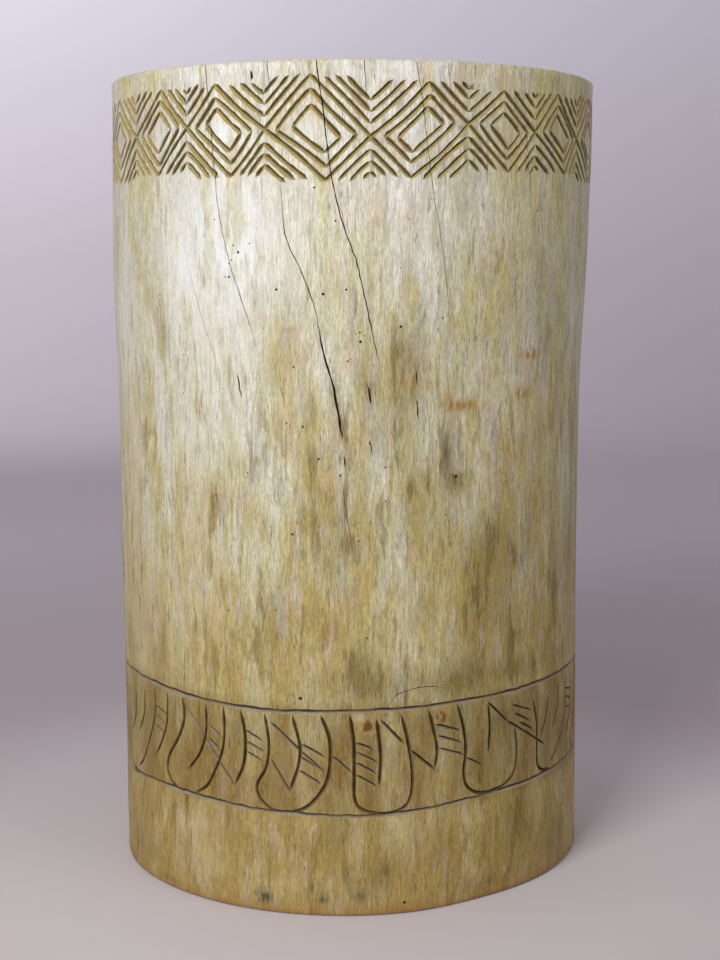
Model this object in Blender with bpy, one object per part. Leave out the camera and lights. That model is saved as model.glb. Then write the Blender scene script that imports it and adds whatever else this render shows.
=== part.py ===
"""Hollow-log drum shell, one piece of wood, standing on its foot face.

+Z is up and the origin is the centre of the foot. The outer wall, the foot face and the rim face
are one triangulated skin. It is laid out flat as a ring, so that every carved cut can be drawn into
it as constraint lines, and then wrapped round the log. The bore closes it from the inside.

Angles are in degrees round the log: 0 faces -Y and positive angles turn towards +X. Heights in the
carving tables are fractions of the log's height.
"""
import math
import random

import bpy
import numpy as np
from mathutils import Vector
from mathutils.geometry import delaunay_2d_cdt

# Driving dimensions, in metres.
HEIGHT = 0.600
MEAN_RADIUS = 0.1835
WALL = 0.028
RIM_EDGE = 0.0020           # rounding of the outer rim edge
FOOT_EDGE = 0.0020          # rounding of the foot edge
BORE_EDGE = 0.0030          # rounding of both bore edges
BORE_WAIST = 0.0040         # how much narrower the bore is at half height

# The log's outline seen from -Y: (share of the height, radius towards -X, radius towards +X).
OUTLINE = [(0.0, 0.1818, 0.1836), (0.05, 0.1830, 0.1832), (0.20, 0.1834, 0.1820), (0.42, 0.1846, 0.1801),
           (0.62, 0.1845, 0.1805), (0.67, 0.1852, 0.1818), (0.73, 0.1874, 0.1838), (0.80, 0.1866, 0.1855),
           (0.90, 0.1858, 0.1868), (1.0, 0.1850, 0.1868)]

# How far the foot spreads (or, at its worn corner, draws in) past that outline, as (angle, metres).
FOOT_SPREAD = [(-180, 0.0), (-85, 0.0), (-62, 0.0050), (-30, 0.0038), (0, 0.0015), (14, 0.0), (30, -0.0052),
               (38, -0.0048), (60, -0.0018), (85, 0.0), (180, 0.0)]
FOOT_SPREAD_HEIGHT = 0.12

OUTLINE_SMOOTHING = (-0.03, 0.0, 0.03)   # shares of the height that the outline is averaged over
SHARP_ANGLE = 25                         # faces that meet at more than this, in degrees, keep a crisp edge

# Cuts, in metres.
RIM_CUT_WIDTH = 0.0036
RIM_CUT_DEPTH = 0.0018
RING_WIDTH = 0.0028
RING_DEPTH = 0.0016
MOTIF_CUT_WIDTH = 0.0030
MOTIF_CUT_DEPTH = 0.0015
HATCH_WIDTH = 0.0024
HATCH_DEPTH = 0.0012

# Mesh density, in metres and counts. Points of the flat ring closer than MERGE_DISTANCE become one.
MERGE_DISTANCE = 2e-4
COLUMNS = 48
ROW_SPACING = 0.028
STATION_SPACING = 0.019
BORE_ROWS = 5

# Rim band: crossings are (angle, height). Each lozenge lies between two crossings and has its upper and
# lower tip as (angle, height, angle, height). Insets are shares of the way from its sides to its middle.
CROSSINGS = [(-57, 0.924), (-38, 0.929), (-18.5, 0.924), (4, 0.915), (25.5, 0.931), (44, 0.926), (62, 0.924)]
LOZENGE_TIPS = [(-46.5, 0.975, -47.5, 0.877), (-30.3, 0.976, -26.5, 0.872), (-8.5, 0.983, -5.5, 0.866),
                (16.5, 0.976, 12.5, 0.870), (34.5, 0.970, 36, 0.879), (52.5, 0.973, 56, 0.880)]
BACK_CELLS = 12
BACK_TURN_ERROR = 1.0       # how far, in degrees, the back's tips and crossings stray from even spacing
BACK_HEIGHT_ERROR = 0.004   # how far they stray in height, as a share of the log's
BAND_MIDDLE = 0.925
BAND_TOP = 0.975
BAND_BOTTOM = 0.874
LOZENGE_INSETS = (0.27, 0.54)
CHEVRON_STEPS = (0.014, 0.027, 0.039)

# Foot band: the two rings, as (angle, height) stations round the log.
UPPER_RING = [(-180, 0.260), (-120, 0.258), (-75, 0.2545), (-59, 0.2553), (-48, 0.254), (-40, 0.2515),
              (-27, 0.2495), (-18, 0.2485), (-8, 0.251), (3, 0.2528), (15, 0.2535), (26, 0.256), (40, 0.257),
              (59, 0.259), (120, 0.262)]
LOWER_RING = [(-180, 0.133), (-120, 0.128), (-72, 0.1180), (-55, 0.1288), (-35, 0.1288), (-25, 0.1262),
              (-10, 0.125), (3, 0.124), (12, 0.126), (22, 0.131), (36, 0.1355), (50, 0.1368), (66, 0.1395),
              (120, 0.138)]
RING_SMOOTHING = (-3, 0, 3)   # angles that a ring's height is averaged over

# One run of foot-band motifs, each a cut through (angle, height) points. The run repeats round the log.
MOTIF_RUN = 120.0
TONGUES = [
    [(-54.5, 0.249), (-54, 0.22), (-55.5, 0.196), (-58.5, 0.165), (-61, 0.145), (-64, 0.132)],
    [(-43, 0.249), (-42.5, 0.222), (-44.5, 0.196), (-48.2, 0.168), (-48.8, 0.15), (-47, 0.136), (-43, 0.131),
     (-39, 0.132), (-35.5, 0.143), (-33, 0.165), (-31, 0.19), (-30.3, 0.215), (-30.5, 0.247)],
    [(-20, 0.246), (-19, 0.21), (-19.6, 0.18), (-21.8, 0.158), (-21.5, 0.143), (-19, 0.13), (-14.5, 0.1265),
     (-11, 0.131), (-8, 0.145), (-5.6, 0.166), (-4.8, 0.192), (-5, 0.22), (-7, 0.246)],
    [(-0.5, 0.249), (0.4, 0.215), (0.5, 0.17), (0.6, 0.146), (2, 0.133), (6, 0.127), (10, 0.128),
     (12.8, 0.138), (13.8, 0.162), (13.4, 0.192), (12.4, 0.222), (11, 0.248)],
    [(24.5, 0.254), (26.2, 0.225), (26.9, 0.195), (26.4, 0.168), (27.2, 0.15), (30, 0.139), (34, 0.137),
     (38.5, 0.142), (41.4, 0.155), (42.2, 0.182), (41.2, 0.214)],
]
LEAVES = [
    [(-65.5, 0.232), (-66, 0.20), (-69.5, 0.172)],
    [(-59.5, 0.242), (-60, 0.21), (-63.5, 0.178)],
    [(-48.5, 0.25), (-49, 0.21), (-51, 0.185), (-54, 0.16)],
    [(-35.5, 0.247), (-35.6, 0.21), (-37.8, 0.18), (-41.5, 0.157)],
    [(-42, 0.24), (-36, 0.205), (-32, 0.18), (-27.5, 0.15)],
    [(-26, 0.247), (-24.8, 0.215), (-25.2, 0.18), (-27.5, 0.152)],
    [(-13.5, 0.247), (-11.7, 0.21), (-12, 0.185), (-14, 0.152), (-18.5, 0.19)],
    [(-18.5, 0.235), (-11.7, 0.203), (-6.5, 0.18)],
    [(-4.5, 0.198), (0, 0.178)],
    [(5.5, 0.243), (6.4, 0.20), (6.1, 0.16)],
    [(6.5, 0.241), (11, 0.213), (19, 0.176), (19.4, 0.21), (17.5, 0.25)],
    [(33, 0.248), (33.5, 0.22), (33.2, 0.185)],
    [(33, 0.249), (39, 0.22), (46, 0.194), (53, 0.175)],
    [(48, 0.24), (49.6, 0.21), (49.8, 0.18)],
]
HATCHES = [
    [(-54, 0.225), (-49, 0.219)], [(-54, 0.213), (-49.5, 0.206)], [(-54, 0.20), (-50, 0.194)],
    [(-34.8, 0.221), (-31, 0.208)], [(-35, 0.205), (-31.4, 0.191)],
    [(-25, 0.222), (-20.5, 0.211)], [(-24.6, 0.208), (-20, 0.198)], [(-24.6, 0.196), (-20.5, 0.186)],
    [(-11.5, 0.211), (-6, 0.196)], [(-12, 0.196), (-6.2, 0.179)], [(-12, 0.179), (-7, 0.163)],
    [(0.8, 0.214), (4.9, 0.205)], [(0.8, 0.203), (5.8, 0.189)], [(0.8, 0.19), (5.4, 0.176)],
    [(0.8, 0.175), (5.6, 0.16)],
    [(19.2, 0.231), (25.3, 0.22)], [(19.7, 0.217), (25.8, 0.205)], [(19.9, 0.202), (26.2, 0.19)],
    [(40.5, 0.239), (47, 0.226)], [(41.3, 0.228), (47, 0.212)], [(43, 0.215), (48, 0.2)],
]


class Cut:
    """One gouge cut: stations along its centre line, with a half width at each, in unrolled metres."""

    def __init__(self, points, width, depth, closed=False):
        self.closed = closed
        self.depth = depth
        self.centres = resample(points, closed)
        count = len(self.centres)
        self.half_widths = np.full(count, width / 2)
        if not closed:
            self.half_widths[0] = 0.0
            self.half_widths[-1] = 0.0

    def edges(self):
        """Points of the left and right edges beside each station."""
        if self.closed:
            along = np.roll(self.centres, -1, axis=0) - np.roll(self.centres, 1, axis=0)
            along[0, 0] += math.tau * MEAN_RADIUS
            along[-1, 0] += math.tau * MEAN_RADIUS
        else:
            along = np.gradient(self.centres, axis=0)
        along /= np.linalg.norm(along, axis=1)[:, None]
        sideways = np.column_stack((-along[:, 1], along[:, 0])) * self.half_widths[:, None]
        return self.centres + sideways, self.centres - sideways

    def depth_at(self, places):
        """Depth of this cut at unrolled places, zero outside it."""
        starts = self.centres
        ends = np.roll(self.centres, -1, axis=0)
        if self.closed:
            ends[-1, 0] += math.tau * MEAN_RADIUS
        else:
            starts, ends = starts[:-1], ends[:-1]
        widths = np.maximum(self.half_widths, 1e-6)
        deepest = np.zeros(len(places))
        for index, (start, end) in enumerate(zip(starts, ends)):
            span = end - start
            offset = places - start
            offset[:, 0] = wrap(offset[:, 0] - span[0] / 2) + span[0] / 2
            share = np.clip(offset @ span / (span @ span), 0, 1)
            gap = np.linalg.norm(offset - share[:, None] * span, axis=1)
            half = (1 - share) * widths[index] + share * widths[(index + 1) % len(widths)]
            size = half / widths.max()
            deepest = np.maximum(deepest, self.depth * size * np.clip(1 - gap / half, 0, 1))
        return deepest


def wrap(arc):
    """An arc length brought within half a turn of zero."""
    turn = math.tau * MEAN_RADIUS
    return (arc + turn / 2) % turn - turn / 2


def unroll(angle, height):
    """Angle in degrees and height as a fraction, to unrolled metres."""
    return (math.radians(angle) * MEAN_RADIUS, height * HEIGHT)


def resample(points, closed):
    """A polyline with stations at an even spacing, which keeps the points of a short one."""
    points = np.array(points, dtype=float)
    if closed:
        return points
    steps = np.linalg.norm(np.diff(points, axis=0), axis=1)
    travel = np.concatenate(([0], np.cumsum(steps)))
    count = max(3, round(travel[-1] / STATION_SPACING) + 1)
    wanted = np.linspace(0, travel[-1], count)
    return np.column_stack([np.interp(wanted, travel, points[:, axis]) for axis in range(2)])


def rim_cut(*points):
    """A cut of the rim band through (angle, height) points."""
    return Cut([unroll(*point) for point in points], RIM_CUT_WIDTH, RIM_CUT_DEPTH)


def rim_band_cells():
    """Crossings and lozenge tips all round the log: the front's own, then evenly spaced ones at the back."""
    crossings = list(CROSSINGS)
    tips = list(LOZENGE_TIPS)
    first, last = CROSSINGS[0][0] + 360, CROSSINGS[-1][0]
    step = (first - last) / BACK_CELLS
    uneven = random.Random(4)

    def near(angle, height):
        return (angle + uneven.uniform(-BACK_TURN_ERROR, BACK_TURN_ERROR),
                height + uneven.uniform(-BACK_HEIGHT_ERROR, BACK_HEIGHT_ERROR))

    for cell in range(BACK_CELLS):
        middle = last + (cell + 0.5) * step
        tips.append(near(middle, BAND_TOP) + near(middle, BAND_BOTTOM))
        if cell < BACK_CELLS - 1:
            crossings.append(near(middle + step / 2, BAND_MIDDLE))
    return crossings, tips


def inset(corners, distance):
    """Corners of a smaller polygon whose sides lie a distance inside those of a convex one."""
    centre = corners.mean(axis=0)
    along = np.roll(corners, -1, axis=0) - corners
    along /= np.linalg.norm(along, axis=1)[:, None]
    inward = np.column_stack((-along[:, 1], along[:, 0]))
    inward *= np.sign(np.sum((centre - corners) * inward, axis=1))[:, None]
    starts = corners + inward * distance
    smaller = []
    for index in range(len(corners)):
        sides = np.column_stack((along[index - 1], -along[index]))
        travel = np.linalg.solve(sides, starts[index] - starts[index - 1])[0]
        smaller.append(starts[index - 1] + along[index - 1] * travel)
    return smaller


def nested_lozenges(left, right, tips):
    """The lozenges inside the large one that the crossing arms make."""
    corners = np.array([unroll(*corner) for corner in (left, tips[:2], right, tips[2:])])
    sides = np.roll(corners, -1, axis=0) - corners
    to_middle = corners.mean(axis=0) - corners
    depths = np.abs(sides[:, 0] * to_middle[:, 1] - sides[:, 1] * to_middle[:, 0])
    reach = np.mean(depths / np.linalg.norm(sides, axis=1))
    cuts = []
    for share in LOZENGE_INSETS:
        ring = inset(corners, share * reach)
        for start, end in zip(ring, ring[1:] + ring[:1]):
            cuts.append(Cut([start, end], RIM_CUT_WIDTH, RIM_CUT_DEPTH))
    return cuts


def crossing_arms(crossing, before, after):
    """The two long cuts that cross, each from one lozenge's tip to the next one's."""
    return [rim_cut(before[:2], crossing, after[2:]), rim_cut(before[2:], crossing, after[:2])]


def chevrons(crossing, before, after):
    """Nested chevrons above and below a crossing, parallel to its arms."""
    angle, height = crossing
    cuts = []
    for tip_angle, tip_height in (before[:2], before[2:], after[:2], after[2:]):
        rise = tip_height - height
        for step in CHEVRON_STEPS:
            share = 1 - step / abs(rise)
            end = (angle + (tip_angle - angle) * share, tip_height)
            cuts.append(rim_cut((angle, height + math.copysign(step, rise)), end))
    return cuts


def rim_band_cuts():
    """All cuts of the lozenge and chevron band under the rim."""
    crossings, tips = rim_band_cells()
    cuts = []
    for index, crossing in enumerate(crossings):
        following = crossings[(index + 1) % len(crossings)]
        before, after = tips[index - 1], tips[index]
        if following[0] < crossing[0]:
            following = (following[0] + 360, following[1])
        if before[0] > crossing[0]:
            before = (before[0] - 360, before[1], before[2] - 360, before[3])
        cuts += crossing_arms(crossing, before, after)
        cuts += nested_lozenges(crossing, following, after)
        cuts += chevrons(crossing, before, after)
    return cuts


def ring_heights(stations, angles):
    """Smoothed heights of a ring, as fractions, at angles in degrees."""
    station_angles, station_heights = np.array(stations).T
    looped_angles = np.concatenate((station_angles - 360, station_angles, station_angles + 360))
    looped_heights = np.tile(station_heights, 3)
    turned = (np.array(angles) + 180) % 360 - 180
    samples = [np.interp(turned + shift, looped_angles, looped_heights) for shift in RING_SMOOTHING]
    return np.mean(samples, axis=0)


def ring_cut(stations):
    """A cut that runs right round the log through (angle, height) stations."""
    angles = np.linspace(-180, 180, COLUMNS, endpoint=False)
    places = [unroll(*place) for place in zip(angles, ring_heights(stations, angles))]
    return Cut(places, RING_WIDTH, RING_DEPTH, closed=True)


def moved_round(points, shift):
    """Unrolled places of motif points carried round the log, keeping their share of the band's height."""
    angles, heights = np.array(points, dtype=float).T
    low, high = ring_heights(LOWER_RING, angles), ring_heights(UPPER_RING, angles)
    share = (heights - low) / (high - low)
    angles = angles + shift
    low, high = ring_heights(LOWER_RING, angles), ring_heights(UPPER_RING, angles)
    return [unroll(*place) for place in zip(angles, low + share * (high - low))]


def foot_band_cuts():
    """The two rings and, between them, the run of tongues, leaves and hatches, repeated."""
    cuts = [ring_cut(UPPER_RING), ring_cut(LOWER_RING)]
    for shift in np.arange(0, 360, MOTIF_RUN):
        for points in TONGUES + LEAVES:
            cuts.append(Cut(moved_round(points, shift), MOTIF_CUT_WIDTH, MOTIF_CUT_DEPTH))
        for points in HATCHES:
            cuts.append(Cut(moved_round(points, shift), HATCH_WIDTH, HATCH_DEPTH))
    return cuts


def to_plane(arc, height):
    """Unrolled metres to the flat ring, which keeps angles true and closes round without a seam."""
    reach = math.exp(height / MEAN_RADIUS)
    turn = arc / MEAN_RADIUS
    return Vector((reach * math.cos(turn), reach * math.sin(turn)))


class Layout:
    """Points and constraint lines of the flat ring."""

    def __init__(self):
        self.points = []
        self.lines = []

    def add(self, place):
        self.points.append(to_plane(*place))
        return len(self.points) - 1

    def add_path(self, places, closed=False):
        indices = [self.add(place) for place in places]
        pairs = list(zip(indices, indices[1:]))
        if closed:
            pairs.append((indices[-1], indices[0]))
        self.lines += pairs
        return indices

    def add_cut(self, cut):
        left, right = cut.edges()
        if cut.closed:
            for path in (left, cut.centres, right):
                self.add_path(path, closed=True)
            return
        start = self.add(cut.centres[0])
        end = self.add(cut.centres[-1])
        for path in (left, cut.centres, right):
            inner = [self.add(place) for place in path[1:-1]]
            self.lines += zip([start] + inner, inner + [end])


def circle(height, stagger=0.5):
    """Unrolled places evenly round the log at one height."""
    return [((index + stagger) * math.tau * MEAN_RADIUS / COLUMNS, height) for index in range(COLUMNS)]


def carved_depth(places, cuts):
    """Deepest cut at each unrolled place."""
    depth = np.zeros(len(places))
    for cut in cuts:
        low = cut.centres[:, 1].min() - cut.half_widths.max()
        high = cut.centres[:, 1].max() + cut.half_widths.max()
        near = np.nonzero((places[:, 1] >= low) & (places[:, 1] <= high))[0]
        if not cut.closed:
            middle = cut.centres[:, 0].mean()
            reach = np.ptp(cut.centres[:, 0]) / 2 + cut.half_widths.max()
            near = near[np.abs(wrap(places[near, 0] - middle)) <= reach]
        if len(near):
            depth[near] = np.maximum(depth[near], cut.depth_at(places[near]))
    return depth


def wall_radius(height, angle):
    """Radius of the uncut outer wall, in metres, at an angle in radians."""
    shares, left, right = np.array(OUTLINE).T
    radius = 0.0
    for shift in OUTLINE_SMOOTHING:
        share = height / HEIGHT + shift
        lean = (1 + math.sin(angle)) / 2
        radius += ((1 - lean) * np.interp(share, shares, left) + lean * np.interp(share, shares, right)) / 3
    turn = (math.degrees(angle) + 180) % 360 - 180
    spread = np.interp(turn, *np.array(FOOT_SPREAD).T)
    radius += spread * max(0.0, 1 - height / FOOT_SPREAD_HEIGHT) ** 2
    rim_rounding = RIM_EDGE * max(0.0, 1 - (HEIGHT - height) / RIM_EDGE) ** 2
    foot_rounding = FOOT_EDGE * max(0.0, 1 - height / FOOT_EDGE) ** 2
    return radius - rim_rounding - foot_rounding


def skin_point(arc, level, depth):
    """Where one point of the unrolled skin lies in space; its level is measured up from the foot edge."""
    angle = arc / MEAN_RADIUS
    height = min(max(level, 0.0), HEIGHT)
    radius = wall_radius(height, angle) - depth
    past_edge = max(-level, level - HEIGHT, 0.0) / WALL
    radius += (bore_radius(height) - radius) * min(past_edge, 1.0)
    return (radius * math.sin(angle), -radius * math.cos(angle), height)


def bore_radius(height):
    """Radius of the bore, with its two edges rounded."""
    waist = BORE_WAIST * math.sin(math.pi * height / HEIGHT)
    from_edge = min(height, HEIGHT - height)
    edge = BORE_EDGE * max(0.0, 1 - from_edge / BORE_EDGE) ** 2
    return MEAN_RADIUS - WALL - waist + edge


def skin_layout(cuts):
    """The flat ring: edge circles, cuts, and an even spread of points where there are none."""
    layout = Layout()
    for level in (-WALL, 0.0, FOOT_EDGE, HEIGHT - RIM_EDGE, HEIGHT, HEIGHT + WALL):
        layout.add_path(circle(level), closed=True)
    for cut in cuts:
        layout.add_cut(cut)
    stations = np.concatenate([cut.centres for cut in cuts])
    for row in range(1, round(HEIGHT / ROW_SPACING)):
        for place in circle(row * ROW_SPACING, row % 2 / 2):
            offset = stations - place
            offset[:, 0] = wrap(offset[:, 0])
            if np.hypot(offset[:, 0], offset[:, 1]).min() > ROW_SPACING / 2:
                layout.add(place)
    return layout


def outer_skin(cuts):
    """Vertices and faces of the foot face, outer wall and rim face, and the loops they end at."""
    layout = skin_layout(cuts)
    flat, _, triangles, *_ = delaunay_2d_cdt(layout.points, layout.lines, [], 0, MERGE_DISTANCE)
    arcs = np.array([math.atan2(point.y, point.x) for point in flat]) * MEAN_RADIUS
    levels = np.array([math.log(point.length) for point in flat]) * MEAN_RADIUS
    depths = carved_depth(np.column_stack((arcs, levels)), cuts)
    vertices = [skin_point(*values) for values in zip(arcs, levels, depths)]
    foot_loop = end_loop(arcs, levels, -WALL)
    rim_loop = end_loop(arcs, levels, HEIGHT + WALL)
    hole = set(foot_loop)
    faces = [tuple(reversed(triangle)) for triangle in triangles if not hole.issuperset(triangle)]
    return vertices, faces, foot_loop, rim_loop


def end_loop(arcs, levels, level):
    """The vertices at one level, in order round the log."""
    at_level = np.nonzero(np.abs(levels - level) < 1e-5)[0]
    return [int(index) for index in at_level[np.argsort(arcs[at_level])]]


def bore_loop(count, height):
    """Vertices of one circle of the bore."""
    radius = bore_radius(height)
    loop = []
    for index in range(count):
        angle = (index + 0.5) * math.tau / count - math.pi
        loop.append((radius * math.sin(angle), -radius * math.cos(angle), height))
    return loop


def build_shell():
    """The whole shell as one closed mesh."""
    cuts = rim_band_cuts() + foot_band_cuts()
    vertices, faces, foot_loop, rim_loop = outer_skin(cuts)
    loops = [foot_loop]
    straight = HEIGHT - 2 * BORE_EDGE
    heights = [BORE_EDGE + straight * row / BORE_ROWS for row in range(BORE_ROWS + 1)]
    for height in [BORE_EDGE / 3] + heights + [HEIGHT - BORE_EDGE / 3]:
        loops.append(range(len(vertices), len(vertices) + COLUMNS))
        vertices += bore_loop(COLUMNS, height)
    loops.append(rim_loop)
    for lower, upper in zip(loops, loops[1:]):
        for index in range(COLUMNS):
            after = (index + 1) % COLUMNS
            faces.append((lower[index], upper[index], upper[after], lower[after]))
    return vertices, faces


def wood():
    """Pale weathered hardwood, dry and unvarnished."""
    material = bpy.data.materials.new("weathered_wood")
    material.use_nodes = True
    shader = material.node_tree.nodes["Principled BSDF"]
    shader.inputs["Base Color"].default_value = (0.46, 0.36, 0.20, 1.0)
    shader.inputs["Roughness"].default_value = 0.62
    shader.inputs["Metallic"].default_value = 0.0
    return material


def main():
    for leftover in list(bpy.data.objects):
        bpy.data.objects.remove(leftover)
    vertices, faces = build_shell()
    mesh = bpy.data.meshes.new("drum_shell")
    mesh.from_pydata(vertices, [], faces)
    mesh.materials.append(wood())
    shell = bpy.data.objects.new("drum_shell", mesh)
    bpy.context.scene.collection.objects.link(shell)
    mesh.shade_smooth()
    mesh.set_sharp_from_angle(angle=math.radians(SHARP_ANGLE))


main()
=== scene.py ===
"""Looks of the carved hollow-log drum shell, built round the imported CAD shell.

The CAD shell is replaced by one fine mesh of the same log. Its outer skin (foot face, outer wall and
rim face) is laid out flat as a ring, with every gouge cut, drying crack and beetle hole drawn into it
as constraint lines, triangulated, and wrapped round the log. A hand-gouged bore closes it inside.

Angles are in degrees round the log: 0 faces -Y and positive angles turn towards +X. Heights in the
carving tables are fractions of the log's height. Unrolled places are (arc, level) in metres.
"""
import math
import random

import bpy
import numpy as np
from mathutils import Matrix, Vector, geometry, kdtree, noise


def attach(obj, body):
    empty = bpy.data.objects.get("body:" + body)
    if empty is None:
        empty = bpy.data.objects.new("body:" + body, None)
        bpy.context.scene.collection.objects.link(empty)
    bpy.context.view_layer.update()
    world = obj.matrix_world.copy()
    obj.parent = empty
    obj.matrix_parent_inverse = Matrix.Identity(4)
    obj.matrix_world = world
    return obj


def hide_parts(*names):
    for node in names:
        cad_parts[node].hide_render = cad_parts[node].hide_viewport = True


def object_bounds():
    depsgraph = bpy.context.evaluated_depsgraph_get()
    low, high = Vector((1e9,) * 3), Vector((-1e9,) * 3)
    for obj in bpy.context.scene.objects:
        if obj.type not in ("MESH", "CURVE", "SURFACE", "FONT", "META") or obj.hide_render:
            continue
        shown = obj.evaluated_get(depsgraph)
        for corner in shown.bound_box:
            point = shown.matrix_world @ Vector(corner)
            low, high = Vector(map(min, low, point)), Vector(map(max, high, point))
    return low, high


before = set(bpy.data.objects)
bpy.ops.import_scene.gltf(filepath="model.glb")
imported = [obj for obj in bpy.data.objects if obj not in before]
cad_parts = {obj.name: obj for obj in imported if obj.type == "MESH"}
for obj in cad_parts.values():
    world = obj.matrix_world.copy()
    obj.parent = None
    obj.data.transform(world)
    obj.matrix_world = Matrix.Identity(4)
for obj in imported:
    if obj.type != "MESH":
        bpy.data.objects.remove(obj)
cad_low, cad_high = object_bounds()

# The log, in metres. Its height is the CAD shell's own.
HEIGHT = cad_high.z
MEAN_RADIUS = 0.1835
TURN = math.tau * MEAN_RADIUS
WALL = 0.028
RIM_EDGE = 0.0020
FOOT_EDGE = 0.0020
BORE_EDGE = 0.0030
BORE_WAIST = 0.0040

# The log's outline seen from -Y: (share of the height, radius towards -X, radius towards +X).
OUTLINE = [(0.0, 0.1818, 0.1836), (0.05, 0.1830, 0.1832), (0.20, 0.1834, 0.1820), (0.42, 0.1846, 0.1801),
           (0.62, 0.1845, 0.1805), (0.67, 0.1852, 0.1818), (0.73, 0.1874, 0.1838), (0.80, 0.1866, 0.1855),
           (0.90, 0.1858, 0.1868), (1.0, 0.1850, 0.1868)]

# How far the foot spreads (or, at its worn corner, draws in) past that outline, as (angle, metres).
FOOT_SPREAD = [(-180, 0.0), (-85, 0.0), (-62, 0.0050), (-30, 0.0038), (0, 0.0015), (14, 0.0), (30, -0.0052),
               (38, -0.0048), (60, -0.0018), (85, 0.0), (180, 0.0)]
FOOT_SPREAD_HEIGHT = 0.12
OUTLINE_SMOOTHING = (-0.03, 0.0, 0.03)   # shares of the height that the outline is averaged over
FOOT_SMOOTHING = (-5, 0, 5)              # degrees that the foot's spread is averaged over

# Mesh density, in metres and counts. The wall's rows are closer together than its columns, and there
# are extra rows at the foot's edge and at the rim's, given as heights above each edge.
GRID = 0.0048
ROW_SHARE = 0.87
FACE_GRID = 0.0055
FACE_ROWS = 4
FOOT_EDGE_ROWS = [-0.0025, -0.0008, 0.0010, 0.0025, 0.0045, 0.0075]
RIM_EDGE_ROWS = [-0.0035, -0.0018, -0.0007, 0.0008, 0.0030]
FIRST_WALL_ROW = 0.0115
CLEARANCE = 0.0026          # grid points keep this far from the stations of cuts and holes
END_COLUMNS = 176
BORE_ROWS = 64
STATION_SPACING = 0.0034
CRACK_SPACING = 0.0042
HOLE_SIDES = 7
MERGE_DISTANCE = 4e-5
SHARP_ANGLE = 38            # faces that meet at more than this, in degrees, keep a crisp edge

# The surface's own unevenness, in metres. Facets and scoops are (width, length) of a tool's mark.
LUMP_DEPTH = 0.0005
FACET_DEPTH = 0.00035
FACET_SIZE = (0.020, 0.13)
RIM_FACET_DEPTH = 0.0005
RIM_FACET_SIZE = (0.016, 1.0)
SCOOP_DEPTH = 0.0024
SCOOP_SIZE = (0.017, 0.062)
SCOOP_ROUGHNESS = 0.0008

# A cut's deepest line leans this share of its half width towards its upper edge, and its mesh lines
# lie at these shares.
LEAN = 0.35
CUT_ROWS = (LEAN, -0.4, -1.3)
FULLNESS = 1.35             # of a cut's section: 1 would be a plain V

# Cuts, in metres. A rim cut that falls to the right is made broader than one that rises. An overlap is
# how far a cut runs on past where it meets another, and a taper is the length its ends narrow over.
FALLING_WIDTH = 0.0037
RISING_WIDTH = 0.0031
RIM_CUT_DEPTH = 0.0019
RIM_TAPER = 0.0034
OVERLAP = 0.0011
ARM_OVERLAPS = (0.0018, 0.0012)   # at the crossing and at the tip
APEX_OVERLAP = 0.0006
CORNER_ERROR = 0.0007             # how far the nested lozenges' corners stray
BOW = 0.03                        # how far a rim cut bends at most, as a share of its length
STEP_ERROR = 0.0008               # how uneven the chevrons' steps are, as a share of the log's height
RING_WIDTH = 0.0031
RING_DEPTH = 0.0020
RING_WOBBLE = 0.0009              # as a share of the log's height
MOTIF_WIDTH = 0.0027
MOTIF_DEPTH = 0.0019
MOTIF_TAPER = 0.006
HATCH_WIDTH = 0.0023
HATCH_DEPTH = 0.0013
HATCH_TAPER = 0.0015
CRACK_TAPER = 0.03          # the longest way a crack takes to narrow to nothing
CRACK_JITTER = 0.00022

# Rim band: crossings are (angle, height). Each lozenge lies between two crossings and has its upper and
# lower tip as (angle, height, angle, height). Insets are shares of the way from its sides to its middle.
CROSSINGS = [(-57, 0.924), (-38, 0.929), (-18.5, 0.924), (4, 0.915), (25.5, 0.931), (44, 0.926), (62, 0.924)]
LOZENGE_TIPS = [(-46.5, 0.975, -47.5, 0.877), (-30.3, 0.976, -26.5, 0.872), (-8.5, 0.983, -5.5, 0.866),
                (16.5, 0.976, 12.5, 0.870), (34.5, 0.970, 36, 0.879), (52.5, 0.973, 56, 0.880)]
BACK_CELLS = 12
BAND_MIDDLE = 0.925
BAND_TOP = 0.975
BAND_BOTTOM = 0.874
LOZENGE_INSETS = (0.27, 0.54)
CHEVRON_STEPS = (0.014, 0.027, 0.039)

# Foot band: the two rings, as (angle, height) stations round the log.
UPPER_RING = [(-180, 0.260), (-120, 0.258), (-75, 0.2545), (-59, 0.2553), (-48, 0.254), (-40, 0.2515),
              (-27, 0.2495), (-18, 0.2485), (-8, 0.251), (3, 0.2528), (15, 0.2535), (26, 0.256), (40, 0.257),
              (59, 0.259), (120, 0.262)]
LOWER_RING = [(-180, 0.133), (-120, 0.128), (-72, 0.1180), (-55, 0.1288), (-35, 0.1288), (-25, 0.1262),
              (-10, 0.125), (3, 0.124), (12, 0.126), (22, 0.131), (36, 0.1355), (50, 0.1368), (66, 0.1395),
              (120, 0.138)]
RING_SMOOTHING = (-3, 0, 3)

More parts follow.
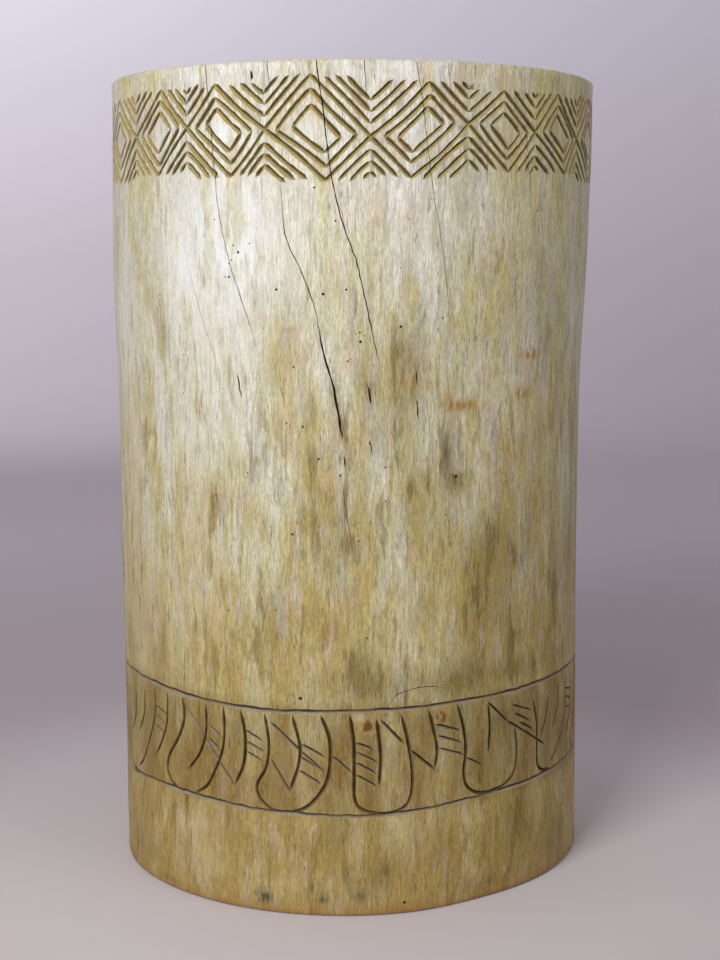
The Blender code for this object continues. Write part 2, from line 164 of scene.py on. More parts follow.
# One run of foot-band motifs, each a cut through (angle, height) points. The run repeats round the log.
MOTIF_RUN = 120.0
TONGUES = [
    [(-54.5, 0.249), (-54, 0.22), (-55.5, 0.196), (-58.5, 0.165), (-61, 0.145), (-64, 0.132)],
    [(-43, 0.249), (-42.5, 0.222), (-44.5, 0.196), (-48.2, 0.168), (-49, 0.15), (-47.4, 0.137),
     (-44.5, 0.129)],
    [(-30.5, 0.249), (-30.3, 0.215), (-31, 0.19), (-33, 0.165), (-35.5, 0.143), (-39, 0.131)],
    [(-20, 0.246), (-19, 0.21), (-19.6, 0.18), (-21.8, 0.158), (-21.5, 0.143), (-19, 0.13), (-16.5, 0.127)],
    [(-7, 0.248), (-5, 0.22), (-4.8, 0.192), (-5.6, 0.166), (-8, 0.145), (-11, 0.131), (-14, 0.127)],
    [(-0.5, 0.249), (0.4, 0.215), (0.5, 0.17), (0.6, 0.146), (2, 0.133), (6, 0.127), (10, 0.128),
     (12.8, 0.138), (13.8, 0.162), (13.4, 0.192), (12.4, 0.222), (11, 0.248)],
    [(24.5, 0.254), (26.2, 0.225), (26.9, 0.195), (26.4, 0.168), (27.2, 0.15), (30, 0.139), (34, 0.137),
     (38.5, 0.142), (41.4, 0.155), (42.2, 0.182), (41.2, 0.214)],
    [(48, 0.24), (49.6, 0.21), (49.8, 0.18), (50, 0.155), (52, 0.143), (56, 0.14)],
]
LEAVES = [
    [(-65.5, 0.232), (-66, 0.20), (-69.5, 0.172)],
    [(-59.5, 0.242), (-60, 0.21), (-63.5, 0.178)],
    [(-48.5, 0.25), (-49, 0.21), (-51, 0.185), (-54, 0.16)],
    [(-35.5, 0.247), (-35.6, 0.21), (-37.8, 0.18), (-41.5, 0.157)],
    [(-26, 0.247), (-24.8, 0.215), (-25.2, 0.18), (-27.5, 0.152)],
    [(-13.5, 0.247), (-11.7, 0.21), (-12, 0.185), (-14, 0.152)],
    [(5.5, 0.243), (6.4, 0.20), (6.1, 0.16)],
    [(19, 0.176), (19.6, 0.20), (18.6, 0.228), (17.5, 0.25)],
    [(33, 0.248), (33.6, 0.22), (33.2, 0.185)],
]
STRAIGHTS = [
    [(-42, 0.24), (-36, 0.205)], [(-36, 0.205), (-27.5, 0.15)],
    [(-14, 0.152), (-18.5, 0.19)], [(-18.5, 0.235), (-11.7, 0.203)], [(-11.7, 0.203), (-6.5, 0.18)],
    [(-4.5, 0.198), (0, 0.178)],
    [(6.5, 0.241), (11.5, 0.212)], [(13, 0.203), (19, 0.176)],
    [(33, 0.249), (39, 0.22)], [(39, 0.22), (53, 0.175)],
]
HATCHES = [
    [(-54, 0.225), (-49, 0.219)], [(-54, 0.213), (-49.5, 0.206)], [(-54, 0.20), (-50, 0.194)],
    [(-34.8, 0.221), (-31, 0.208)], [(-35, 0.205), (-31.4, 0.191)],
    [(-25, 0.222), (-20.5, 0.211)], [(-24.6, 0.208), (-20, 0.198)], [(-24.6, 0.196), (-20.5, 0.186)],
    [(-11.5, 0.211), (-6, 0.196)], [(-12, 0.196), (-6.2, 0.179)], [(-12, 0.179), (-7, 0.163)],
    [(0.8, 0.214), (4.9, 0.205)], [(0.8, 0.203), (5.8, 0.189)], [(0.8, 0.19), (5.4, 0.176)],
    [(0.8, 0.175), (5.6, 0.16)],
    [(19.2, 0.231), (25.3, 0.22)], [(19.7, 0.217), (25.8, 0.205)], [(19.9, 0.202), (26.2, 0.19)],
    [(26.8, 0.186), (31.5, 0.172)],
    [(40.5, 0.239), (47, 0.226)], [(41.3, 0.228), (47, 0.212)], [(43, 0.215), (48, 0.2)],
]

# Drying cracks: width and depth in metres, then (angle, height) points. Height 1 carries on over the rim.
CRACKS = [
    (0.0006, 0.005, [(-32.7, 1.0), (-30.4, 0.877), (-29.5, 0.834), (-27, 0.777), (-23.7, 0.727),
                     (-21, 0.68)]),
    (0.0004, 0.003, [(-39, 0.79), (-34.5, 0.713), (-30, 0.645)]),
    (0.0007, 0.005, [(-15, 0.863), (-14, 0.806), (-11, 0.77), (-8, 0.727), (-6.3, 0.684)]),
    (0.0012, 0.006, [(-7.3, 0.708), (-5.4, 0.66), (-3.7, 0.63), (-3, 0.605)]),
    (0.0017, 0.003, [(-4.3, 0.642), (-3.6, 0.624), (-2.8, 0.60), (-1.9, 0.572)]),
    (0.0008, 0.007, [(-7.3, 1.0), (-6, 0.949), (-4.3, 0.877), (-2.3, 0.827), (1, 0.777), (3.5, 0.72),
                     (5, 0.684), (6.4, 0.65)]),
    (0.0006, 0.005, [(13.5, 1.0), (15, 0.956), (17, 0.87), (19, 0.813), (20.5, 0.763), (21.8, 0.70)]),
    (0.0008, 0.006, [(38.5, 1.0), (41, 0.934), (42.6, 0.863), (43.5, 0.834)]),
    (0.0006, 0.004, [(39.7, 1.0), (40.8, 0.963), (41, 0.94)]),
    (0.0005, 0.003, [(-55, 1.0), (-54.3, 0.962)]),
    (0.0005, 0.003, [(-17.8, 1.0), (-17.3, 0.966)]),
    (0.0005, 0.003, [(2.6, 1.0), (3.4, 0.955)]),
    (0.0005, 0.003, [(20.4, 1.0), (21.6, 0.96)]),
    (0.0004, 0.002, [(-2.3, 0.534), (-1.2, 0.49), (0.4, 0.434)]),
    (0.0013, 0.002, [(-25.8, 0.650), (-25.3, 0.634), (-24.7, 0.618)]),
    (0.0014, 0.002, [(3.3, 0.638), (3.9, 0.628), (4.3, 0.612)]),
    (0.0012, 0.002, [(14.3, 0.622), (14.9, 0.596)]),
    (0.0012, 0.002, [(14.2, 0.655), (14.5, 0.632)]),
    (0.0009, 0.002, [(3.8, 0.574), (4.6, 0.555)]),
    (0.0011, 0.003, [(-1.7, 0.556), (-1.4, 0.541)]),
    (0.0024, 0.003, [(-21.5, 0.9905), (-21.3, 0.985), (-21.5, 0.9775)]),
    (0.0007, 0.0012, [(8, 0.255), (9, 0.262), (9.8, 0.27), (14, 0.277), (18, 0.278), (22, 0.274)]),
]
BACK_CRACKS = 11

# Beetle holes that stand out: (angle, height, radius in metres).
HOLES = [
    (-25.9, 0.795, 0.0007), (-24.8, 0.787, 0.0011), (-26.4, 0.778, 0.0007), (-27.0, 0.774, 0.0008),
    (-27.1, 0.759, 0.0010), (-28.0, 0.759, 0.0006), (-22.1, 0.797, 0.0006), (-16.1, 0.745, 0.0010),
    (-6.0, 0.740, 0.0011), (-1.1, 0.745, 0.0009), (-3.3, 0.822, 0.0008), (-7.8, 0.859, 0.0008),
    (-19.1, 0.701, 0.0006), (-12.6, 0.657, 0.0008), (-14.3, 0.592, 0.0007), (-10.7, 0.588, 0.0009),
    (-7.2, 0.551, 0.0009), (-2.4, 0.532, 0.0010), (-23.5, 0.532, 0.0007), (-13.1, 0.462, 0.0010),
    (1.9, 0.686, 0.0011), (10.6, 0.703, 0.0011), (7.4, 0.541, 0.0007), (-11.5, 0.266, 0.0014),
    (24, 0.527, 0.0016), (12, 0.014, 0.0014),
]
SCATTERED_HOLES = 150

# Stains and tints: (angle, height, half width in degrees, half height as a fraction, strength).
RUST_STAINS = [(45, 0.667, 4, 0.006, 1.3), (42.5, 0.62, 2.5, 0.010, 1.3), (26, 0.610, 6, 0.009, 1.1),
               (-54, 0.57, 2.5, 0.006, 0.9), (20.5, 0.239, 1.9, 0.010, 2.2), (1.9, 0.231, 1.5, 0.006, 2.2),
               (4.0, 0.2365, 1.1, 0.009, 2.2), (21, 0.16, 1.5, 0.008, 0.9), (22, 0.62, 2, 0.02, 0.5),
               (18, 0.38, 2, 0.014, 0.7), (-22, 0.71, 4, 0.012, 0.5), (-13, 0.70, 4, 0.004, 0.6),
               (12, 0.635, 2, 0.02, 0.5), (150, 0.62, 6, 0.012, 1.1), (-130, 0.36, 5, 0.015, 0.9),
               (100, 0.45, 3, 0.02, 0.8), (-100, 0.72, 4, 0.008, 1.0), (170, 0.2, 2, 0.01, 1.2)]
INK_STAINS = [(-20, 0.018, 1.8, 0.009, 1.6), (-7, 0.022, 2.0, 0.006, 1.0), (2, 0.026, 1.2, 0.008, 0.8),
              (-48, 0.011, 3, 0.004, 0.7), (8, 0.055, 2, 0.008, 0.5), (24, 0.527, 1.3, 0.006, 1.1),
              (21.5, 0.56, 0.8, 0.02, 0.7), (10, 0.55, 0.7, 0.02, 0.5), (33.5, 0.78, 1.4, 0.014, 0.5),
              (43.5, 0.42, 0.8, 0.012, 0.8), (-31, 0.49, 0.8, 0.02, 0.4), (140, 0.02, 2, 0.008, 1.2),
              (-110, 0.05, 2, 0.01, 0.8), (178, 0.7, 1.2, 0.01, 0.9), (90, 0.33, 1, 0.03, 0.6)]
# Bleached patches: partly bleached wood, partly a painted highlight, most of it on the upper left where the
# key light falls.
BLEACHED_AND_HIGHLIT = [(-29, 0.79, 15, 0.11, 1.1), (-6, 0.81, 14, 0.07, 0.15), (14, 0.82, 9, 0.07, 0.25),
            (-28, 0.92, 3.5, 0.022, 0.9), (-9, 0.925, 5, 0.022, 0.5), (14.5, 0.923, 5, 0.02, 0.7),
            (-47, 0.925, 3, 0.018, 0.3), (-32, 0.99, 12, 0.02, 0.5), (8, 0.99, 10, 0.02, 0.6),
            (-34, 0.60, 9, 0.06, 0.5), (-66, 0.66, 12, 0.14, 0.7), (-60, 0.48, 10, 0.06, 0.45),
            (-60, 0.37, 13, 0.07, 0.5), (-40, 0.75, 7, 0.07, 0.5), (-42, 0.55, 12, 0.05, 0.5),
            (-35, 0.45, 6, 0.04, 0.6), (-38, 0.095, 6, 0.025, 0.6), (-36, 0.05, 6, 0.02, 0.6),
            (-38, 0.37, 9, 0.05, 0.3), (-66, 0.29, 12, 0.03, 0.35), (-30, 0.66, 12, 0.05, 0.4),
            (1.8, 0.245, 1.6, 0.005, 1.6), (-14, 0.185, 4.5, 0.032, 0.6), (-63, 0.142, 4, 0.012, 0.4),
            (-43, 0.148, 4, 0.010, 0.3), (8, 0.145, 4, 0.012, 0.3), (27, 0.115, 2, 0.03, 0.5),
            (12, 0.10, 4, 0.03, 0.4), (-42, 0.09, 4, 0.03, 0.4), (-12, 0.035, 7, 0.02, 0.6)]
YELLOWED = [(35, 0.74, 9, 0.07, 1.0), (55, 0.72, 6, 0.09, 1.0), (52, 0.86, 9, 0.06, 1.1),
            (45, 0.97, 13, 0.04, 2.0), (62, 0.98, 10, 0.03, 1.6), (38, 0.87, 9, 0.05, 0.8),
            (-58, 0.985, 15, 0.022, 1.0), (-58, 0.87, 11, 0.05, 0.6), (62, 0.93, 9, 0.05, 0.9),
            (47, 0.55, 12, 0.08, 0.8), (33, 0.64, 4, 0.03, 0.6), (60, 0.62, 5, 0.06, 0.6),
            (-56, 0.73, 3, 0.05, 0.6), (-47, 0.765, 3, 0.012, 0.7), (-52, 0.83, 4, 0.04, 0.4),
            (-62, 0.56, 5, 0.04, 0.4), (-17, 0.69, 4, 0.012, 0.6), (26, 0.45, 6, 0.08, 0.5),
            (-2, 0.75, 7, 0.04, 0.5), (62, 0.30, 14, 0.05, 0.7), (10, 0.36, 14, 0.05, 0.5),
            (-20, 0.31, 12, 0.04, 0.4), (9, 0.65, 8, 0.06, 0.9), (55, 0.34, 9, 0.05, 0.7),
            (36, 0.09, 12, 0.05, 0.6), (-55, 0.07, 9, 0.04, 0.5)]
BROWNED = [(10, 0.283, 20, 0.02, 0.55), (33, 0.20, 9, 0.05, 0.5), (-4, 0.10, 4, 0.03, 0.4),
           (42, 0.10, 6, 0.03, 0.5), (-3.6, 0.63, 0.9, 0.02, 1.0), (-2.2, 0.59, 0.8, 0.02, 1.2),
           (12, 0.65, 3.6, 0.055, 1.4), (3.5, 0.635, 2, 0.02, 1.0), (6, 0.585, 5, 0.03, 0.4),
           (-3, 0.475, 5, 0.07, 0.6), (15, 0.50, 5, 0.05, 0.5), (22, 0.56, 2.4, 0.05, 0.8),
           (24, 0.52, 3, 0.015, 0.7), (35, 0.43, 7, 0.05, 0.8), (30, 0.36, 4, 0.07, 0.7),
           (39, 0.33, 3, 0.06, 0.6), (45.5, 0.46, 1.4, 0.05, 0.4), (47, 0.75, 2, 0.035, 0.6),
           (51, 0.69, 1.2, 0.03, 0.7), (57.5, 0.355, 1.8, 0.05, 1.0), (54, 0.30, 1.6, 0.03, 0.6),
           (68, 0.42, 5, 0.05, 0.5), (-18, 0.35, 3.5, 0.04, 0.6), (2.5, 0.295, 3, 0.035, 1.1),
           (17, 0.375, 2, 0.015, 0.5), (-47, 0.69, 1.6, 0.02, 0.7), (-49, 0.72, 2, 0.02, 0.4),
           (-20, 0.73, 2, 0.02, 0.4), (-32, 0.50, 2, 0.03, 0.4), (-21, 0.545, 3, 0.02, 0.3),
           (27, 0.280, 6, 0.022, 1.0), (42, 0.285, 6, 0.014, 0.7), (60, 0.285, 6, 0.012, 0.5),
           (-70, 0.30, 5, 0.03, 0.4), (-53, 0.29, 4, 0.02, 0.3), (-76, 0.925, 6, 0.035, 0.7),
           (-57, 0.925, 5, 0.035, 0.5), (-66, 0.215, 3, 0.03, 0.8), (-55, 0.215, 3, 0.03, 0.7),
           (-47, 0.22, 2, 0.03, 0.5), (-37, 0.21, 3, 0.03, 0.9), (-27, 0.205, 2.4, 0.035, 0.8),
           (-21, 0.15, 2, 0.02, 0.4), (-3, 0.19, 2.2, 0.05, 0.9), (4, 0.195, 3, 0.03, 0.4),
           (17.5, 0.205, 1.8, 0.04, 1.0), (22, 0.23, 3, 0.015, 0.7), (30, 0.20, 4, 0.04, 0.5),
           (42, 0.225, 7, 0.02, 0.8), (47, 0.18, 4, 0.03, 0.6), (60, 0.19, 8, 0.04, 0.4),
           (-56, 0.155, 3, 0.015, 0.4), (-42, 0.12, 4, 0.01, 0.5), (-29, 0.095, 3, 0.02, 0.4),
           (-2, 0.10, 3, 0.012, 0.5), (6, 0.055, 4, 0.03, 0.6), (-8, 0.03, 3, 0.015, 0.5),
           (43, 0.075, 3, 0.04, 0.6), (60, 0.05, 5, 0.03, 0.6), (33, 0.02, 8, 0.012, 0.6),
           (-60, 0.03, 6, 0.02, 0.5)]
BACK_TINTS = 34


def wrap(arc):
    """An arc length brought within half a turn of zero."""
    return (arc + TURN / 2) % TURN - TURN / 2


def unroll(angle, height):
    """Angle in degrees and height as a fraction, to unrolled metres."""
    return (math.radians(angle) * MEAN_RADIUS, height * HEIGHT)


def travelled(points):
    """How far along a polyline each of its points is."""
    steps = np.linalg.norm(np.diff(points, axis=0), axis=1)
    return np.concatenate(([0], np.cumsum(steps)))


def smooth_path(points, spacing):
    """Stations at an even spacing along a Catmull-Rom curve through unrolled points."""
    points = np.array(points, dtype=float)
    if len(points) > 2:
        padded = np.vstack((2 * points[0] - points[1], points, 2 * points[-1] - points[-2]))
        share = np.linspace(0, 1, 12, endpoint=False)[:, None]
        pieces = []
        for a, b, c, d in zip(padded, padded[1:], padded[2:], padded[3:]):
            pieces.append(0.5 * (2 * b + (c - a) * share + (2 * a - 5 * b + 4 * c - d) * share ** 2
                                 + (3 * b - a - 3 * c + d) * share ** 3))
        points = np.vstack(pieces + [points[-1:]])
    travel = travelled(points)
    wanted = np.linspace(0, travel[-1], max(4, round(travel[-1] / spacing) + 1))
    return np.column_stack([np.interp(wanted, travel, points[:, axis]) for axis in range(2)])


class Cut:
    """A groove in the skin: stations along its centre line with a half width at each.

    lean moves its deepest line towards its upper edge, as a share of the half width, and rows are the
    mesh lines along it, as shares of the half width to the upper (positive) or lower side. pale says how
    strongly its lower face is painted paler: partly fresh-cut wood, partly a painted highlight on the face
    that turns up to the light.
    """

    def __init__(self, centres, width, depth, kind="gouge", closed=False, taper=0.006, lean=0.0, rows=(0.0,),
                 pale=1.0):
        if not closed and centres[-1][0] < centres[0][0]:
            centres = centres[::-1]
        self.centres = centres
        self.depth = depth
        self.kind = kind
        self.closed = closed
        self.lean = lean
        self.pale = pale
        self.rows = (1.0,) + tuple(rows) + (-1.0,)
        self.half_widths = np.full(len(centres), width / 2)
        if not closed:
            travel = travelled(centres)
            from_end = np.minimum(travel, travel[-1] - travel)
            self.half_widths = width / 2 * np.clip(from_end / taper, 0, 1) ** 0.6
        self.half_widths = np.maximum(self.half_widths, 1e-6)

    def sideways(self):
        """Unit vectors across the cut, towards its upper side."""
        if self.closed:
            along = np.roll(self.centres, -1, axis=0) - np.roll(self.centres, 1, axis=0)
            along[:, 0] = wrap(along[:, 0])
        else:
            along = np.gradient(self.centres, axis=0)
        along /= np.linalg.norm(along, axis=1)[:, None]
        return np.column_stack((-along[:, 1], along[:, 0]))

    def row(self, share):
        """Places along one mesh line of the cut."""
        return self.centres + self.sideways() * (self.half_widths * share)[:, None]

    def share_at(self, places):
        """Share of the full depth at unrolled places, and how much of the lower face is there."""
        starts = self.centres
        spans = np.roll(self.centres, -1, axis=0) - starts
        if self.closed:
            spans[:, 0] = wrap(spans[:, 0])
        else:
            starts, spans = starts[:-1], spans[:-1]
        deepest = np.zeros(len(places))
        lower_face = np.zeros(len(places))
        widest = self.half_widths.max()
        for index, (start, span) in enumerate(zip(starts, spans)):
            offset = places - start
            offset[:, 0] = wrap(offset[:, 0])
            length = math.hypot(*span)
            along = np.clip(offset @ span / length ** 2, 0, 1)
            past = offset - along[:, None] * span
            side = (span[0] * past[:, 1] - span[1] * past[:, 0]) / length
            gap = np.hypot(past[:, 0], past[:, 1]) * np.where(side < 0, -1, 1)
            after = (index + 1) % len(self.half_widths)
            half = (1 - along) * self.half_widths[index] + along * self.half_widths[after]
            across = gap / half - self.lean
            room = np.where(across > 0, 1 - self.lean, 1 + self.lean)
            share = np.clip(1 - (np.abs(across) / room) ** FULLNESS, 0, 1) * half / widest
            face = np.where(gap > -1.1 * half, np.clip(-across / 0.6, 0, 1), 0) * half / widest
            deepest = np.maximum(deepest, share)
            lower_face = np.maximum(lower_face, face)
        return deepest, lower_face * self.pale


def rim_cut(rng, start, end, start_overlap=OVERLAP, end_overlap=OVERLAP):
    """One hand-made cut of the rim band between two unrolled places, run on past both ends."""
    start, end = np.array(start), np.array(end)
    length = math.dist(start, end)
    along = (end - start) / length
    start = start - along * start_overlap
    end = end + along * end_overlap
    middle = (start + end) / 2 + np.array((-along[1], along[0])) * length * rng.uniform(-BOW, BOW)
    centres = smooth_path([start, middle, end], STATION_SPACING)
    falling = along[0] * along[1] < 0
    width = (FALLING_WIDTH if falling else RISING_WIDTH) * rng.uniform(0.85, 1.12)
    depth = RIM_CUT_DEPTH * rng.uniform(0.85, 1.15)
    cut = Cut(centres, width, depth, taper=RIM_TAPER, lean=LEAN, rows=CUT_ROWS)
    cut.half_widths *= [rng.uniform(0.82, 1.18) for _ in centres]
    return cut


def inset(corners, distance):
    """Corners of a smaller polygon whose sides lie a distance inside those of a convex one."""
    centre = corners.mean(axis=0)
    along = np.roll(corners, -1, axis=0) - corners
    along /= np.linalg.norm(along, axis=1)[:, None]
    inward = np.column_stack((-along[:, 1], along[:, 0]))
    inward *= np.sign(np.sum((centre - corners) * inward, axis=1))[:, None]
    starts = corners + inward * distance
    smaller = []
    for index in range(len(corners)):
        sides = np.column_stack((along[index - 1], -along[index]))
        travel = np.linalg.solve(sides, starts[index] - starts[index - 1])[0]
        smaller.append(starts[index - 1] + along[index - 1] * travel)
    return smaller


def nested_lozenges(rng, left, right, tips):
    """The lozenges inside the large one that the crossing arms make."""
    corners = np.array([unroll(*corner) for corner in (left, tips[:2], right, tips[2:])])
    sides = np.roll(corners, -1, axis=0) - corners
    to_middle = corners.mean(axis=0) - corners
    depths = np.abs(sides[:, 0] * to_middle[:, 1] - sides[:, 1] * to_middle[:, 0])
    reach = np.mean(depths / np.linalg.norm(sides, axis=1))
    cuts = []
    for share in LOZENGE_INSETS:
        ring = [corner + np.array((rng.gauss(0, CORNER_ERROR), rng.gauss(0, CORNER_ERROR)))
                for corner in inset(corners, share * reach)]
        for start, end in zip(ring, ring[1:] + ring[:1]):
            cuts.append(rim_cut(rng, start, end))
    return cuts


def chevrons(rng, crossing, tips):
    """Nested chevrons above and below a crossing, parallel to its arms."""
    cuts = []
    for tip_angle, tip_height in tips:
        rise = tip_height - crossing[1]
        for step in CHEVRON_STEPS:
            share = 1 - (step + rng.uniform(-STEP_ERROR, STEP_ERROR)) / abs(rise)
            apex = unroll(crossing[0], tip_height - rise * share)
            end = unroll(crossing[0] + (tip_angle - crossing[0]) * share, tip_height)
            cuts.append(rim_cut(rng, apex, end, APEX_OVERLAP, rng.uniform(-0.0015, 0.0020)))
    return cuts


def rim_band_cells(rng):
    """Crossings and lozenge tips all round the log: the uneven front, then the even back."""
    crossings = list(CROSSINGS)
    tips = list(LOZENGE_TIPS)
    first, last = CROSSINGS[0][0] + 360, CROSSINGS[-1][0]
    step = (first - last) / BACK_CELLS
    for cell in range(BACK_CELLS):
        middle = last + (cell + 0.5) * step
        tips.append((middle + rng.uniform(-1, 1), BAND_TOP + rng.uniform(-0.003, 0.004),
                     middle + rng.uniform(-1, 1), BAND_BOTTOM + rng.uniform(-0.003, 0.004)))
        if cell < BACK_CELLS - 1:
            crossings.append((last + (cell + 1) * step + rng.uniform(-0.8, 0.8),
                              BAND_MIDDLE + rng.uniform(-0.005, 0.005)))
    return crossings, tips


def rim_band_cuts():
    """All cuts of the lozenge and chevron band under the rim."""
    rng = random.Random(11)
    crossings, tips = rim_band_cells(rng)
    cuts = []
    for index, crossing in enumerate(crossings):
        following = crossings[(index + 1) % len(crossings)]
        after, before = tips[index], tips[index - 1]
        if following[0] < crossing[0]:
            following = (following[0] + 360, following[1])
        if before[0] > crossing[0]:
            before = (before[0] - 360, before[1], before[2] - 360, before[3])
        ends = (before[:2], before[2:], after[:2], after[2:])
        for end in ends:
            cuts.append(rim_cut(rng, unroll(*crossing), unroll(*end), *ARM_OVERLAPS))
        cuts += nested_lozenges(rng, crossing, following, after)
        cuts += chevrons(rng, crossing, ends)
    return cuts


def ring_heights(stations, angles):
    """Smoothed heights of a ring, as fractions, at angles in degrees."""
    station_angles, station_heights = np.array(stations).T
    looped_angles = np.concatenate((station_angles - 360, station_angles, station_angles + 360))
    looped_heights = np.tile(station_heights, 3)
    turned = (np.array(angles) + 180) % 360 - 180
    samples = [np.interp(turned + shift, looped_angles, looped_heights) for shift in RING_SMOOTHING]
    return np.mean(samples, axis=0)


def ring_cut(stations):
    """A cut that runs right round the log through (angle, height) stations, a little unsteadily."""
    count = round(TURN / STATION_SPACING)
    angles = np.linspace(-180, 180, count, endpoint=False)
    heights = ring_heights(stations, angles)
    around = [Vector((math.cos(turn), math.sin(turn), heights[0] * 9)) for turn in np.radians(angles)]
    heights = heights + [RING_WOBBLE * noise.noise(place * 21) for place in around]
    centres = np.array([unroll(*place) for place in zip(angles, heights)])
    cut = Cut(centres, RING_WIDTH, RING_DEPTH, closed=True, lean=LEAN, rows=CUT_ROWS, pale=0.85)
    cut.half_widths *= [1 + 0.45 * noise.noise(place * 9) + 0.3 * noise.noise(place * 31) for place in around]
    return cut


def moved_round(points, shift):
    """Unrolled places of motif points carried round the log, keeping their share of the band's height."""
    angles, heights = np.array(points, dtype=float).T
    low, high = ring_heights(LOWER_RING, angles), ring_heights(UPPER_RING, angles)
    share = (heights - low) / (high - low)
    angles = angles + shift
    low, high = ring_heights(LOWER_RING, angles), ring_heights(UPPER_RING, angles)
    return [unroll(*place) for place in zip(angles, low + share * (high - low))]


def foot_band_cuts():
    """The two rings and, between them, the run of tongues, leaves and hatches, repeated unevenly."""
    rng = random.Random(5)
    cuts = [ring_cut(UPPER_RING), ring_cut(LOWER_RING)]
    groups = [(TONGUES + LEAVES, MOTIF_WIDTH, MOTIF_DEPTH, MOTIF_TAPER, 0.25),
              (STRAIGHTS, HATCH_WIDTH, MOTIF_DEPTH, HATCH_TAPER, 0.6),
              (HATCHES, HATCH_WIDTH, HATCH_DEPTH, HATCH_TAPER, 0.6)]
    for shift in np.arange(0, 360, MOTIF_RUN):
        unsteady = 0.0 if shift == 0 else 0.7
        for motifs, width, depth, taper, pale in groups:
            for points in motifs:
                shaken = [(angle + rng.uniform(-unsteady, unsteady), height) for angle, height in points]
                centres = smooth_path(moved_round(shaken, shift), STATION_SPACING)
                if len(points) == 2:
                    along = (centres[-1] - centres[0]) / math.dist(centres[0], centres[-1])
                    centres[0] -= along * OVERLAP
                    centres[-1] += along * OVERLAP
                cut = Cut(centres, width * rng.uniform(0.85, 1.2), depth * rng.uniform(0.8, 1.2),
                          taper=taper, lean=LEAN, rows=CUT_ROWS, pale=pale)
                cut.half_widths *= [rng.uniform(0.85, 1.15) for _ in centres]
                cuts.append(cut)
    return cuts


def grain_turn(height):
    """How far the grain has turned, in degrees, at heights as fractions: it leans only above the middle."""
    levels = np.linspace(0, 1, 200)
    share = np.clip((levels - 0.35) / 0.25, 0, 1)
    slope = -38 * share * share * (3 - 2 * share)
    return np.interp(height, levels, np.cumsum(slope) * (levels[1] - levels[0]))


def crack(width, depth, points, rng):
    """A drying crack along (angle, height) points, jagged, carried over the rim if it reaches it."""
    route = [unroll(*point) for point in points]
    if points[0][1] == 1.0:
        route.insert(0, (route[0][0] + rng.uniform(-0.002, 0.002), HEIGHT + WALL * rng.uniform(0.4, 0.9)))
    centres = smooth_path(route, CRACK_SPACING)
    for index in range(1, len(centres) - 1):
        centres[index, 0] += rng.gauss(0, CRACK_JITTER)
    length = math.dist(centres[0], centres[-1])
    cut = Cut(centres, width, depth, kind="crack", taper=min(CRACK_TAPER, length * 0.3))
    cut.half_widths *= [rng.uniform(0.75, 1.25) for _ in centres]
    return cut


def all_cracks():
    """The cracks of the front, then some more of the same kind round the back."""
    rng = random.Random(23)
    cracks = [crack(width, depth, points, rng) for width, depth, points in CRACKS]
    for index in range(BACK_CRACKS):
        angle = 74 + index * 21 + rng.uniform(-6, 6)
        reach = rng.uniform(0.05, 0.40)
        heights = np.arange(1.0, 1.0 - reach, -0.045)
        turns = grain_turn(heights) - grain_turn(1.0)
        points = [(angle + turn + rng.uniform(-0.3, 0.3), height) for turn, height in zip(turns, heights)]
        if len(points) > 1:
            cracks.append(crack(rng.uniform(0.0004, 0.0010), rng.uniform(0.003, 0.007), points, rng))
    return cracks


def all_holes():
    """Beetle holes as (arc, level, radius): the ones that stand out, then a scatter of fine ones."""
    rng = random.Random(8)
    holes = [(*unroll(angle, height), radius) for angle, height, radius in HOLES]
    for _ in range(SCATTERED_HOLES):
        angle = rng.uniform(-180, 180)
        height = rng.uniform(0.30, 0.86)
        holes.append((*unroll(angle, height), rng.uniform(0.0004, 0.0008)))
    return holes


def to_plane(arc, level):
    """Unrolled metres to the flat ring, which keeps angles true and closes round without a seam."""
    reach = math.exp(level / MEAN_RADIUS)
    turn = arc / MEAN_RADIUS
    return Vector((reach * math.cos(turn), reach * math.sin(turn)))


def on_cylinder(arc, level):
    """A place on a plain cylinder, where near things are near across the seam too."""
    turn = arc / MEAN_RADIUS
    return Vector((MEAN_RADIUS * math.cos(turn), MEAN_RADIUS * math.sin(turn), level))


class Layout:
    """Points and constraint lines of the flat ring."""

    def __init__(self):
        self.points = []
        self.lines = []

    def add(self, place):
        self.points.append(to_plane(*place))
        return len(self.points) - 1

    def add_loop(self, places):
        indices = [self.add(place) for place in places]
        self.lines += zip(indices, indices[1:] + indices[:1])

    def add_cut(self, cut):
        if cut.closed:
            for share in cut.rows:
                self.add_loop(cut.row(share))
            return
        start = self.add(cut.centres[0])
        end = self.add(cut.centres[-1])
        for share in cut.rows:
            inner = [self.add(place) for place in cut.row(share)[1:-1]]
            self.lines += zip([start] + inner, inner + [end])

    def add_hole(self, hole):
        arc, level, radius = hole
        turns = [index * math.tau / HOLE_SIDES for index in range(HOLE_SIDES)]
        self.add_loop([(arc + radius * math.cos(turn), level + radius * math.sin(turn)) for turn in turns])
        self.add((arc, level))


def circle(level, count, stagger=0.5):
    """Unrolled places evenly round the log at one level."""
    return [((index + stagger) * TURN / count, level) for index in range(count)]


def under_small_stains():
    """Extra unrolled places that keep the small rust and ink stains crisp."""
    places = []
    for angle, height, half_width, half_height, _ in RUST_STAINS + INK_STAINS:
        arc, level = unroll(angle, height)
        wide, tall = math.radians(half_width) * MEAN_RADIUS, half_height * HEIGHT
        step = 0.5 * min(wide, tall)
        for across in np.arange(-1.5 * wide, 1.5 * wide, step):
            for up in np.arange(-1.5 * tall, 1.5 * tall, step):
                if level + up > 0.002:
                    places.append((arc + across, level + up))
    return places


